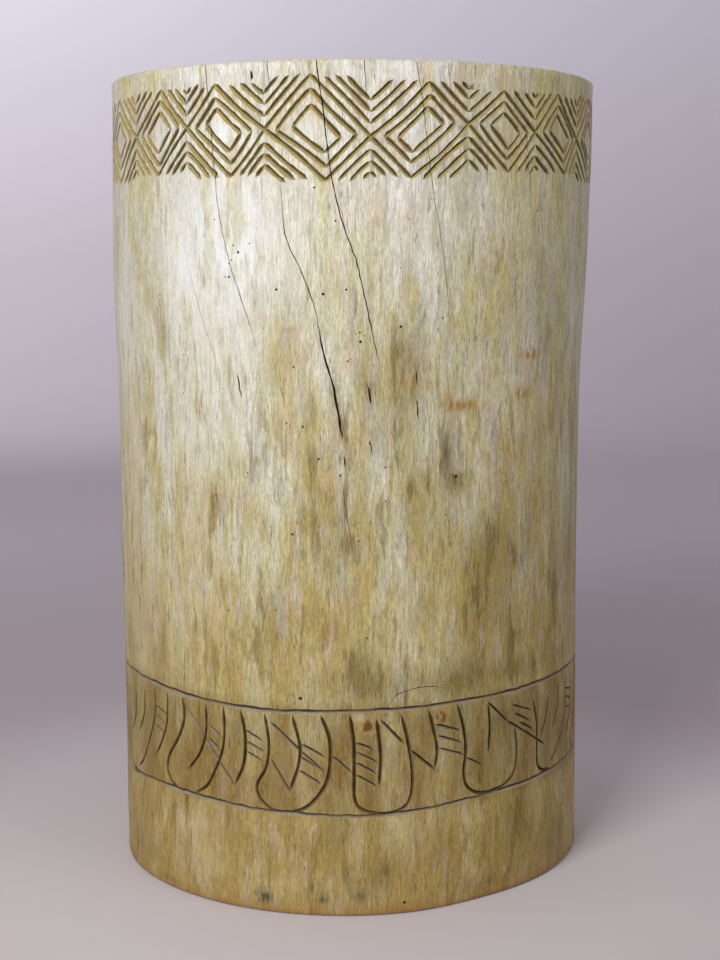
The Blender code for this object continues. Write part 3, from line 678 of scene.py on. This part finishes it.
def skin_layout(cuts, holes):
    """The flat ring: edge circles, cuts, holes, and an even spread of points where there are none."""
    layout = Layout()
    columns = round(TURN / GRID)
    for level in (-WALL, HEIGHT + WALL):
        layout.add_loop(circle(level, END_COLUMNS))
    for level in (0.0, HEIGHT):
        layout.add_loop(circle(level, columns))
    for cut in cuts:
        layout.add_cut(cut)
    for hole in holes:
        layout.add_hole(hole)
    rows = [-WALL + FACE_GRID * step for step in range(1, FACE_ROWS + 1)]
    rows += FOOT_EDGE_ROWS
    rows += list(np.arange(FIRST_WALL_ROW, HEIGHT - 0.006, GRID * ROW_SHARE))
    rows += [HEIGHT + row for row in RIM_EDGE_ROWS]
    rows += [HEIGHT + WALL - FACE_GRID * step for step in range(FACE_ROWS, 0, -1)]
    stations = np.concatenate([cut.centres for cut in cuts] + [[hole[:2]] for hole in holes])
    tree = kdtree.KDTree(len(stations))
    for index, station in enumerate(stations):
        tree.insert(on_cylinder(*station), index)
    tree.balance()
    evenly = [place for index, level in enumerate(rows) for place in circle(level, columns, index % 2 / 2)]
    for place in evenly + under_small_stains():
        if tree.find(on_cylinder(*place))[2] > CLEARANCE:
            layout.add(place)
    return layout


def carve(places, cuts, holes):
    """Depth, and how much of a gouge cut, of its lower face (later painted paler, partly as a highlight) and
    of a crack or hole opening (later painted dark as shade) there is, at places.
    """
    depth, gouged, lit_face_paint, gap_shade = np.zeros((4, len(places)))
    order = np.argsort(places[:, 1])
    levels = places[order, 1]
    for cut in cuts:
        reach = cut.half_widths.max() * 1.4
        first = np.searchsorted(levels, cut.centres[:, 1].min() - reach)
        last = np.searchsorted(levels, cut.centres[:, 1].max() + reach)
        near = order[first:last]
        if not cut.closed:
            middle = (cut.centres[:, 0].min() + cut.centres[:, 0].max()) / 2
            near = near[np.abs(wrap(places[near, 0] - middle)) <= np.ptp(cut.centres[:, 0]) / 2 + reach]
        if len(near) == 0:
            continue
        share, face = cut.share_at(places[near])
        if cut.kind == "crack":
            under_groove = np.where(share > 0, depth[near] * 0.5, 0)
            depth[near] = np.maximum(depth[near], share * cut.depth + under_groove)
            # The share here sets the painted shade in the crack's opening.
            gap_shade[near] = np.maximum(gap_shade[near], share)
        else:
            depth[near] = np.maximum(depth[near], share * cut.depth)
            gouged[near] = np.maximum(gouged[near], share)
            # The lower face's share, which the material paints paler, partly as a painted highlight.
            lit_face_paint[near] = np.maximum(lit_face_paint[near], face)
    for arc, level, radius in holes:
        first = np.searchsorted(levels, level - radius)
        last = np.searchsorted(levels, level + radius)
        near = order[first:last]
        gap = np.hypot(wrap(places[near, 0] - arc), places[near, 1] - level)
        share = np.clip(1 - gap / radius, 0, 1)
        depth[near] = np.maximum(depth[near], share * radius * 3.5)
        # The painted shade inside a beetle hole.
        gap_shade[near] = np.maximum(gap_shade[near], np.clip(share * 3, 0, 1))
    return depth, gouged, lit_face_paint, gap_shade


def in_space(radius, angle, height):
    """The place in space at a radius, an angle in radians and a height."""
    return Vector((radius * math.sin(angle), -radius * math.cos(angle), height))


def facets(place, size):
    """Shallow tool marks of a width and length, 0 on the ridges between them and 1 in their middles."""
    width, length = size
    spot = Vector((place[0] / width, place[1] / width, place[2] / length))
    distances, _ = noise.voronoi(spot)
    return max(0.0, 1 - distances[0] ** 2)


def wall_radius(height, angle):
    """Radius of the smooth outer wall at heights and angles, with its worn edges."""
    shares, left, right = np.array(OUTLINE).T
    lean = (1 + np.sin(angle)) / 2
    radius = 0.0
    for shift in OUTLINE_SMOOTHING:
        share = height / HEIGHT + shift
        radius += ((1 - lean) * np.interp(share, shares, left) + lean * np.interp(share, shares, right)) / 3
    turn = (np.degrees(angle) + 180) % 360 - 180
    spread = sum(np.interp(turn + shift, *np.array(FOOT_SPREAD).T) for shift in FOOT_SMOOTHING) / 3
    radius += spread * np.clip(1 - height / FOOT_SPREAD_HEIGHT, 0, 1) ** 2
    rim_rounding = RIM_EDGE * np.clip(1 - (HEIGHT - height) / RIM_EDGE, 0, 1) ** 2
    foot_rounding = FOOT_EDGE * np.clip(1 - height / FOOT_EDGE, 0, 1) ** 2
    return radius - rim_rounding - foot_rounding


def bore_radius(height, angle):
    """Radius of the bore before its gouge marks, a little out of round."""
    waist = BORE_WAIST * np.sin(np.pi * height / HEIGHT)
    edge = BORE_EDGE * np.clip(1 - np.minimum(height, HEIGHT - height) / BORE_EDGE, 0, 1) ** 2
    lopsided = 0.0012 * np.sin(2 * angle + 0.7) + 0.0008 * np.sin(5 * angle + 2)
    return MEAN_RADIUS - WALL - waist + edge + lopsided


def skin_points(places, depth):
    """Places in space of unrolled places of the skin, sunk by their depth."""
    arc, level = places.T
    angle = arc / MEAN_RADIUS
    height = np.clip(level, 0, HEIGHT)
    radius = wall_radius(height, angle)
    on_wall = (level > 0) & (level < HEIGHT)
    rim_lean = np.clip((level - HEIGHT) / 0.003, -1, 1) / 2 + 0.5
    sunk_in = depth * np.cos(rim_lean * np.pi / 2)
    sunk_down = depth * np.sin(rim_lean * np.pi / 2)
    texture = np.zeros(len(places))
    for index in np.nonzero(on_wall)[0]:
        spot = in_space(radius[index], angle[index], height[index])
        lumps = 0.5 + 0.5 * noise.noise(spot * 14)
        texture[index] = LUMP_DEPTH * lumps + FACET_DEPTH * facets(spot, FACET_SIZE)
    fade = np.clip(np.minimum(height, HEIGHT - height) / 0.01, 0, 1)
    radius = radius - texture * fade - sunk_in
    past_edge = np.clip(np.maximum(-level, level - HEIGHT), 0, WALL) / WALL
    radius = radius + (bore_radius(height, angle) - radius) * past_edge
    face_noise = np.zeros(len(places))
    for index in np.nonzero(level > HEIGHT)[0]:
        scoop = RIM_FACET_DEPTH * facets(in_space(radius[index], angle[index], 0.0), RIM_FACET_SIZE)
        face_noise[index] = scoop * min(1.0, (level[index] - HEIGHT) / 0.004)
    height = height - sunk_down - face_noise * (past_edge < 0.999)
    return np.column_stack((radius * np.sin(angle), -radius * np.cos(angle), height))


def end_loop(places, level):
    """The vertices at one end level, in order round the log."""
    at_level = np.nonzero(np.abs(places[:, 1] - level) < 1e-5)[0]
    return [int(index) for index in at_level[np.argsort(places[at_level, 0])]]


def bore_rows(first_index):
    """Vertices of the bore, row by row from the foot up, and the rows' index loops."""
    heights = [BORE_EDGE * 0.15, BORE_EDGE * 0.5, BORE_EDGE]
    heights += list(np.linspace(BORE_EDGE, HEIGHT - BORE_EDGE, BORE_ROWS)[1:])
    heights += [HEIGHT - BORE_EDGE * 0.5, HEIGHT - BORE_EDGE * 0.15]
    angles = (np.arange(END_COLUMNS) + 0.5) * math.tau / END_COLUMNS - math.pi
    rows, loops = [], []
    for height in heights:
        fade = min(1.0, min(height, HEIGHT - height) / 0.012)
        radii = bore_radius(np.full(END_COLUMNS, height), angles)
        for angle, radius in zip(angles, radii):
            spot = in_space(radius, angle, height)
            scoop = SCOOP_DEPTH * facets(spot, SCOOP_SIZE) + SCOOP_ROUGHNESS * noise.noise(spot * 30)
            radius += fade * scoop
            rows.append((radius * math.sin(angle), -radius * math.cos(angle), height))
        loops.append(list(range(first_index, first_index + END_COLUMNS)))
        first_index += END_COLUMNS
    return np.array(rows), loops


def tints_round_the_back(rng, lowest, highest):
    """More tints of the same kind on the sides that the listed ones leave bare."""
    tints = []
    for _ in range(BACK_TINTS):
        height = rng.uniform(lowest, highest)
        tints.append((rng.uniform(78, 282), height, rng.uniform(2, 9), rng.uniform(0.015, 0.08),
                      rng.uniform(0.3, 1.0)))
    return tints


def stain_strength(places, stains):
    """Sum of soft spots at unrolled places."""
    total = np.zeros(len(places))
    for angle, height, half_width, half_height, strength in stains:
        arc, level = unroll(angle, height)
        across = wrap(places[:, 0] - arc) / (math.radians(half_width) * MEAN_RADIUS)
        up = (places[:, 1] - level) / (half_height * HEIGHT)
        total += strength * np.exp(-(across ** 2 + up ** 2))
    return total


def store(mesh, name, on_skin, in_bore=0.0):
    """Keeps one number for each vertex, for the wood material to read; the bore has one for all."""
    values = np.full(len(mesh.vertices), in_bore, dtype=np.float32)
    values[:len(on_skin)] = on_skin
    mesh.attributes.new(name, "FLOAT", "POINT").data.foreach_set("value", values)


def store_stains(mesh, places):
    """Keeps the strength of every kind of stain and tint, the back's tints drawn at random."""
    rng = random.Random(31)
    store(mesh, "rust", stain_strength(places, RUST_STAINS))
    store(mesh, "ink", stain_strength(places, INK_STAINS))
    # The bleached tints are partly a painted highlight on the upper left.
    for name, tints, lowest, highest in (("bleached", BLEACHED_AND_HIGHLIT, 0.55, 1.0), ("yellowed", YELLOWED, 0.05, 0.9),
                                         ("browned", BROWNED, 0.0, 0.75)):
        store(mesh, name, stain_strength(places, tints + tints_round_the_back(rng, lowest, highest)))


def lay_out_paint(mesh, places, triangle_count):
    """Texture coordinates for the paint: the skin unrolled above, the bore unrolled below."""
    corners = np.empty(len(mesh.loops), dtype=np.int32)
    mesh.loops.foreach_get("vertex_index", corners)
    spots = np.empty(len(mesh.vertices) * 3, dtype=np.float32)
    mesh.vertices.foreach_get("co", spots)
    x, y, z = spots.reshape(-1, 3).T
    turns = np.arctan2(x, -y) / math.tau + 0.5
    skin_levels = 0.44 + 0.55 * (places[:, 1] + WALL) / (HEIGHT + 2 * WALL)
    layout = []
    split = triangle_count * 3
    for part, sides, levels in ((corners[:split], 3, skin_levels), (corners[split:], 4, 0.42 * z / HEIGHT)):
        across = turns[part].reshape(-1, sides)
        over_the_seam = across.max(axis=1, keepdims=True) - across > 0.5
        layout.append(np.column_stack(((across + over_the_seam).ravel() * 0.96, levels[part])))
    mesh.uv_layers.new(name="OFBake").data.foreach_set("uv", np.vstack(layout).ravel().astype(np.float32))


def triangulated(cuts, holes):
    """Unrolled places of the skin's vertices, and its triangles."""
    layout = skin_layout(cuts, holes)
    flat, _, triangles, *_ = geometry.delaunay_2d_cdt(layout.points, layout.lines, [], 0, MERGE_DISTANCE)
    flat = np.array([point[:] for point in flat])
    places = np.column_stack((np.arctan2(flat[:, 1], flat[:, 0]), np.log(np.hypot(flat[:, 0], flat[:, 1]))))
    places *= MEAN_RADIUS
    hole = set(end_loop(places, -WALL))
    return places, [tuple(reversed(triangle)) for triangle in triangles if not hole.issuperset(triangle)]


def build_shell():
    """The fine shell: skin and bore as one closed mesh, with the values its material reads."""
    cuts = rim_band_cuts() + foot_band_cuts() + all_cracks()
    holes = all_holes()
    places, faces = triangulated(cuts, holes)
    triangle_count = len(faces)
    depth, gouged, lit_face_paint, gap_shade = carve(places, cuts, holes)
    bore, loops = bore_rows(len(places))
    loops = [end_loop(places, -WALL)] + loops + [end_loop(places, HEIGHT + WALL)]
    for lower, upper in zip(loops, loops[1:]):
        for index in range(END_COLUMNS):
            after = (index + 1) % END_COLUMNS
            faces.append((lower[index], upper[index], upper[after], lower[after]))
    mesh = bpy.data.meshes.new("carved_log_shell")
    mesh.from_pydata(np.vstack((skin_points(places, depth), bore)).tolist(), [], faces)
    mesh.shade_smooth()
    mesh.set_sharp_from_angle(angle=math.radians(SHARP_ANGLE))
    lay_out_paint(mesh, places, triangle_count)
    store(mesh, "gouged", gouged)
    # Lower faces of cuts, painted paler partly as a highlight; cracks and holes, painted dark as shade.
    store(mesh, "lit_face_paint", lit_face_paint)
    store(mesh, "gap_shade", gap_shade)
    store_stains(mesh, places)
    store(mesh, "endgrain", np.clip(np.maximum(-places[:, 1], places[:, 1] - HEIGHT) / 0.002, 0, 1))
    store(mesh, "inside", np.zeros(len(places)), in_bore=1.0)
    shell = bpy.data.objects.new("carved_log_shell", mesh)
    bpy.context.scene.collection.objects.link(shell)
    return shell


def paint(red, green, blue):
    """A colour given as 0-255 display values, as Blender's linear colour."""
    linear = [((value / 255 + 0.055) / 1.055) ** 2.4 for value in (red, green, blue)]
    return (*linear, 1.0)


class Nodes:
    """Short ways to add shader nodes to one material. A colour is a tuple of 0-255 display values."""

    def __init__(self, material):
        material.use_nodes = True
        self.tree = material.node_tree
        self.shader = self.tree.nodes["Principled BSDF"]
        self.spot = self.node("TexCoord").outputs["Object"]

    def put(self, socket, value):
        if isinstance(value, bpy.types.NodeSocket):
            self.tree.links.new(value, socket)
        elif isinstance(value, tuple):
            socket.default_value = paint(*value)
        else:
            socket.default_value = value

    def node(self, kind, inputs=None, **settings):
        """A new node with these settings, and with values or other nodes' outputs on these inputs."""
        node = self.tree.nodes.new("ShaderNode" + kind)
        for name, value in settings.items():
            setattr(node, name, value)
        for name, value in (inputs or {}).items():
            self.put(node.inputs[name], value)
        return node

    def attribute(self, name):
        return self.node("Attribute", attribute_name=name).outputs["Fac"]

    def stretched(self, across, along):
        """The place scaled for fibres: so many repeats a metre across the grain and along it."""
        factors = Vector((across, across, along))
        return self.node("VectorMath", {0: self.spot, 1: factors}, operation="MULTIPLY").outputs[0]

    def level(self):
        """Height above the foot, in metres."""
        return self.node("SeparateXYZ", {0: self.spot}).outputs["Z"]

    def from_axis(self):
        """Distance from the drum's axis, in metres."""
        return self.node("VectorMath", {0: self.stretched(1, 0)}, operation="LENGTH").outputs["Value"]

    def grain(self, across, along, scale=1.0, detail=2.0, roughness=0.5, distortion=0.0):
        """Noise drawn out along the grain."""
        inputs = {"Vector": self.stretched(across, along), "Scale": scale, "Detail": detail,
                  "Roughness": roughness, "Distortion": distortion}
        return self.node("TexNoise", inputs).outputs["Fac"]

    def span(self, value, low, high, to_low=0.0, to_high=1.0):
        """The value's place between low and high, clamped, as to_low to to_high."""
        inputs = {"Value": value, "From Min": low, "From Max": high, "To Min": to_low, "To Max": to_high}
        return self.node("MapRange", inputs, interpolation_type="SMOOTHSTEP").outputs["Result"]

    def math(self, operation, first, second=0.0, clamp=False):
        return self.node("Math", {0: first, 1: second}, operation=operation, use_clamp=clamp).outputs[0]

    def times(self, first, second, clamp=False):
        return self.math("MULTIPLY", first, second, clamp)

    def plus(self, first, second, clamp=False):
        return self.math("ADD", first, second, clamp)

    def mix(self, share, first, second, blend="MIX"):
        inputs = {"Factor": share, "A": first, "B": second}
        return self.node("Mix", inputs, data_type="RGBA", blend_type=blend).outputs["Result"]

    def cover(self, colour, tint, share, other_share=1.0):
        """The colour with a tint laid over it, as far as the product of the two shares says."""
        return self.mix(self.times(share, other_share), colour, tint)


class WoodNodes(Nodes):
    """The wood's shared noises, from broad to fine, and how far each tint and mark reaches."""

    def __init__(self, material):
        super().__init__(material)
        self.height = self.math("DIVIDE", self.level(), HEIGHT)
        self.clouds = self.grain(16, 5, detail=3)
        self.flush = self.grain(38, 14, scale=2.1, detail=3)
        self.patches = self.grain(44, 11, detail=4, roughness=0.6)
        self.smudges = self.grain(120, 24, detail=4, roughness=0.6, distortion=0.2)
        self.streaks = self.grain(420, 40, detail=3, roughness=0.6)
        self.fibres = self.grain(1150, 100, detail=3, roughness=0.65)
        self.threads = self.grain(2500, 300, detail=2, roughness=0.6)
        self.gouged = self.attribute("gouged")
        self.inside = self.attribute("inside")

        yellowing = self.grain(52, 13, scale=1.3, detail=4, roughness=0.6)
        edge = self.plus(self.times(self.patches, 0.5), self.times(self.smudges, 0.5))
        yellow = self.times(self.attribute("yellowed"), self.span(edge, 0.38, 0.56))
        self.yellow = self.plus(yellow, self.span(yellowing, 0.52, 0.66, 0.0, 0.6), clamp=True)
        # Bleaching, partly a painted highlight; it also calms the fibre marks.
        bleach_and_highlight = self.times(self.attribute("bleached"), self.span(edge, 0.62, 0.42, 0.35, 1.0), clamp=True)
        self.bleach_and_highlight = self.times(bleach_and_highlight, self.span(yellowing, 0.46, 0.62, 1.0, 0.45))
        brown = self.times(self.attribute("browned"), self.span(edge, 0.38, 0.54, 0.2, 1.0))
        loose = self.times(self.span(self.smudges, 0.52, 0.68), self.span(self.height, 0.85, 0.45, 0.2, 0.65))
        self.brown = self.plus(brown, loose, clamp=True)
        self.calm = self.math("SUBTRACT", 1.0, self.times(self.bleach_and_highlight, 0.75))
        dashes = self.grain(800, 120, scale=1.1, detail=2)
        zone = self.span(self.grain(60, 16, scale=1.9, detail=2), 0.44, 0.62)
        dash = self.times(self.span(dashes, 0.61, 0.67), self.plus(zone, self.brown, clamp=True))
        self.dash = self.times(dash, self.calm)


def ground(n):
    """Bleached at the top and tan below. The border is drawn out along the patches."""
    tone = n.plus(n.height, n.span(n.patches, 0.34, 0.66, -0.19, 0.19))
    tone = n.plus(tone, n.span(n.clouds, 0.34, 0.66, -0.10, 0.10))
    ramp = n.node("ValToRGB", {0: tone})
    stops = [(0.06, (176, 149, 84)), (0.34, (196, 180, 122)), (0.52, (208, 203, 160)),
             (0.68, (222, 220, 194)), (0.86, (231, 229, 213)), (1.0, (237, 235, 221))]
    for index, (position, tint) in enumerate(stops):
        stop = ramp.color_ramp.elements[index] if index < 2 else ramp.color_ramp.elements.new(position)
        stop.position = position
        stop.color = paint(*tint)
    return ramp.outputs["Color"]


def patchwork(n, colour):
    """Ragged yellow, grey, rosy, bleached and brown patches, the bleached ones partly a painted highlight,
    and the darker skin of the foot band.
    """
    colour = n.cover(colour, n.mix(n.height, (182, 158, 74), (216, 208, 140)), n.yellow, 0.85)
    greying = n.grain(85, 13, scale=1.7, detail=3, roughness=0.55)
    less_low_down = n.span(n.height, 0.1, 0.5, 0.2, 0.55)
    colour = n.cover(colour, (206, 203, 200), n.span(greying, 0.53, 0.66), less_low_down)
    colour = n.cover(colour, (218, 190, 156), n.span(n.flush, 0.56, 0.70, 0.0, 0.5))
    # Bleached patches, whitest and bluish high up: partly bleached wood, partly a painted highlight.
    colour = n.cover(colour, n.mix(n.height, (206, 188, 142), (240, 249, 252)), n.bleach_and_highlight, 0.95)
    colour = n.cover(colour, (122, 102, 42), n.brown, 0.8)
    band = n.times(n.span(n.height, 0.268, 0.252), n.span(n.height, 0.120, 0.133))
    return n.cover(colour, (122, 92, 36), band, n.span(n.patches, 0.36, 0.62, 0.60, 0.26))


def fibre_marks(n, colour):
    """Streaks, fibres, and short dark dashes where the pores run open, all calmer where it is bleached or
    painted with the highlight.
    """
    colour = n.cover(colour, (140, 126, 76), n.calm, n.span(n.smudges, 0.40, 0.56, 0.28, 0.0))
    colour = n.cover(colour, (132, 120, 72), n.calm, n.span(n.streaks, 0.38, 0.56, 0.20, 0.0))
    grain = n.times(n.span(n.fibres, 0.36, 0.66, 0.80, 1.08), n.span(n.threads, 0.36, 0.62, 0.76, 1.06))
    colour = n.mix(n.calm, colour, grain, "MULTIPLY")
    soot = n.grain(230, 26, scale=1.2, detail=3, roughness=0.6)
    colour = n.cover(colour, (116, 110, 82), n.calm, n.span(soot, 0.58, 0.70, 0.0, 0.5))
    return n.cover(colour, (78, 62, 30), n.dash, 0.5)


def stains(n, colour):
    """Rust, blue-black, and the orange worn edge of the foot."""
    blotch = n.grain(300, 110, detail=3)
    rust = n.times(n.attribute("rust"), n.span(blotch, 0.30, 0.60))
    rust_colour = n.mix(n.span(rust, 0.5, 1.9), (166, 134, 70), (84, 48, 8))
    colour = n.cover(colour, rust_colour, n.span(rust, 0.0, 1.0, 0.0, 0.85))
    ink = n.times(n.attribute("ink"), n.span(blotch, 0.38, 0.58), clamp=True)
    colour = n.cover(colour, (62, 60, 58), ink, 0.85)
    worn = n.times(n.span(n.height, 0.020, 0.003), n.span(n.smudges, 0.35, 0.6, 0.4, 1.0))
    return n.cover(colour, (150, 104, 52), worn, 0.6)


def cut_wood(n, colour):
    """A painted shade line along the upper side of each groove, and a paler lower face with torn fibres
    across it, partly fresh-cut wood and partly a painted highlight where the face turns up to the light.

    The face is ochre in the rim band and greyish in the foot band.
    """
    high = n.span(n.height, 0.3, 0.5)
    ragged = n.span(n.fibres, 0.3, 0.62, 0.75, 1.0)
    colour = n.cover(colour, n.mix(high, (98, 78, 38), (124, 110, 62)), n.span(n.gouged, 0.02, 0.14), ragged)
    # Painted shade: a dark line along the deepest, upper part of each groove, where the steep upper wall is
    # turned from the light.
    groove_shade = n.span(n.gouged, 0.35, 0.80, 0.0, 0.92)
    colour = n.cover(colour, n.mix(high, (40, 30, 14), (62, 54, 26)), groove_shade, ragged)
    # The lower face: partly fresh-cut wood, partly a painted highlight where the face turns up to the light.
    face = n.mix(n.span(n.flush, 0.48, 0.66, 0.0, 0.7), (172, 158, 98), (190, 150, 92))
    face = n.mix(high, (166, 154, 136), face)
    torn = n.grain(1500, 420, detail=2)
    face = n.cover(face, (92, 80, 42), n.span(torn, 0.50, 0.62, 0.0, 0.6))
    return n.cover(colour, face, n.span(n.attribute("lit_face_paint"), 0.25, 0.85, 0.0, 0.85))


def ends_and_openings(n, colour):
    """End grain with growth rings, the bore, and painted shade in cracks and beetle holes."""
    rings = n.plus(n.times(n.from_axis(), 1700), n.times(n.patches, 9))
    rings = n.span(n.math("SINE", rings), -1.0, 1.0, 0.86, 1.05)
    pores = n.grain(900, 900, detail=2)
    end = n.mix(n.span(pores, 0.38, 0.62), (150, 128, 84), (212, 200, 166))
    end = n.mix(1.0, end, rings, "MULTIPLY")
    colour = n.cover(colour, end, n.attribute("endgrain"), 0.8)
    bore = n.mix(n.span(n.patches, 0.36, 0.64), (136, 112, 70), (170, 148, 104))
    colour = n.cover(colour, bore, n.inside, 0.85)
    # Painted shade: cracks and beetle holes darkened where they open into the wood.
    return n.cover(colour, (58, 44, 22), n.span(n.attribute("gap_shade"), 0.0, 0.45))


def finish_surface(n):
    """Roughness, a low sheen, and the relief of fibres and open pores."""
    rough = n.plus(n.span(n.fibres, 0.3, 0.7, 0.62, 0.48), n.times(n.gouged, 0.18))
    rough = n.plus(rough, n.times(n.inside, 0.25), clamp=True)
    n.put(n.shader.inputs["Roughness"], rough)
    n.shader.inputs["Specular IOR Level"].default_value = 0.3
    relief = n.plus(n.times(n.fibres, 0.6), n.times(n.threads, 0.25))
    relief = n.plus(relief, n.times(n.streaks, 0.5))
    relief = n.math("SUBTRACT", relief, n.times(n.dash, 0.4))
    bump = n.node("Bump", {"Strength": 0.4, "Distance": 0.0007, "Height": relief})
    n.put(n.shader.inputs["Normal"], bump.outputs["Normal"])


def weathered_wood():
    """Pale coarse-fibred wood: bleached high up, tan low down, with olive and grey patches and stains, a
    painted highlight on its upper left, and painted shade and highlight in its cuts, cracks and holes.
    """
    material = bpy.data.materials.new("weathered_wood")
    n = WoodNodes(material)
    colour = ground(n)
    for layer in (patchwork, fibre_marks, stains, cut_wood, ends_and_openings):
        colour = layer(n, colour)
    n.put(n.shader.inputs["Base Color"], colour)
    finish_surface(n)
    return material


def build_floor():
    """A pale floor that curves up into a round backdrop, far outside every view of the drum, with a painted
    shadow ring round the drum and paler further out and up the backdrop.
    """
    profile = [(1.0, 0.0), (2.2, 0.0), (3.2, 0.0), (4.0, 0.10), (4.7, 0.45), (5.2, 1.1), (5.4, 2.0),
               (5.4, 4.0)]
    columns = 64
    vertices = [(0.0, 0.0, 0.0)]
    for radius, height in profile:
        for index in range(columns):
            turn = index * math.tau / columns
            vertices.append((radius * math.cos(turn), radius * math.sin(turn), height))
    faces = [(0, 1 + index, 1 + (index + 1) % columns) for index in range(columns)]
    for ring in range(len(profile) - 1):
        start = 1 + ring * columns
        for index in range(columns):
            after = (index + 1) % columns
            faces.append((start + index, start + columns + index, start + columns + after, start + after))
    mesh = bpy.data.meshes.new("studio_floor")
    mesh.from_pydata(vertices, [], faces)
    mesh.shade_smooth()
    floor = bpy.data.objects.new("studio_floor", mesh)
    bpy.context.scene.collection.objects.link(floor)
    material = bpy.data.materials.new("floor_with_painted_shadow")
    n = Nodes(material)
    away = n.from_axis()
    # Painted shadow: a darker ring on the floor from 0.28 to 0.5 m round the drum's axis.
    colour = n.mix(n.span(away, 0.28, 0.5), (212, 204, 207), (194, 180, 186))
    colour = n.cover(colour, (214, 203, 211), n.span(away, 0.55, 1.6))
    colour = n.cover(colour, (242, 239, 248), n.span(n.level(), 0.0, 1.8))
    n.put(n.shader.inputs["Base Color"], colour)
    n.shader.inputs["Roughness"].default_value = 0.75
    mesh.materials.append(material)


def aimed(location, target):
    """A matrix that stands at one point and looks along -Z at another."""
    location, target = Vector(location), Vector(target)
    turn = (target - location).to_track_quat("-Z", "Y").to_matrix().to_4x4()
    return Matrix.Translation(location) @ turn


def add_softbox(name, location, target, size, power, colour):
    """A square area light."""
    light = bpy.data.lights.new(name, "AREA")
    light.shape = "SQUARE"
    light.size = size
    light.energy = power
    light.color = colour
    lamp = bpy.data.objects.new(name, light)
    lamp.matrix_world = aimed(location, target)
    bpy.context.scene.collection.objects.link(lamp)


def build_lights():
    """A large softbox high on the left, a weak fill on the right, a backdrop light and a pale surround."""
    target = (0.0, 0.0, HEIGHT * 0.66)
    add_softbox("key_softbox", (-0.80, -1.62, 1.10), target, 0.8, 28, (1.0, 0.995, 0.975))
    add_softbox("fill_softbox", (1.7, -1.3, 1.2), target, 1.2, 7, (1.0, 0.98, 0.94))
    add_softbox("backdrop_softbox", (-1.3, 2.4, 2.6), (-1.9, 4.9, 2.2), 1.0, 46, (0.96, 0.97, 1.0))
    world = bpy.data.worlds.new("studio")
    world.use_nodes = True
    world.node_tree.nodes["Background"].inputs["Color"].default_value = (0.80, 0.80, 0.82, 1.0)
    world.node_tree.nodes["Background"].inputs["Strength"].default_value = 0.40
    bpy.context.scene.world = world
    bpy.context.scene.view_settings.view_transform = "Standard"


def build_camera():
    """The photographer's place: in front, a little below the rim, looking slightly down."""
    camera = bpy.data.cameras.new("camera")
    camera.lens = 60.4
    camera.sensor_width = 36
    camera.clip_end = 50
    eye = Vector((0.0, -2.1435 * HEIGHT, 0.7800 * HEIGHT))
    pitch, heading = math.radians(7.83), math.radians(0.30)
    ahead = Vector((math.sin(heading) * math.cos(pitch), math.cos(heading) * math.cos(pitch),
                    -math.sin(pitch)))
    stand = bpy.data.objects.new("camera", camera)
    stand.matrix_world = aimed(eye, eye + ahead)
    bpy.context.scene.collection.objects.link(stand)
    bpy.context.scene.camera = stand


build_camera()
shell = build_shell()
shell.data.materials.append(weathered_wood())
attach(shell, "root")
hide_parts("drum_shell")
build_floor()
build_lights()
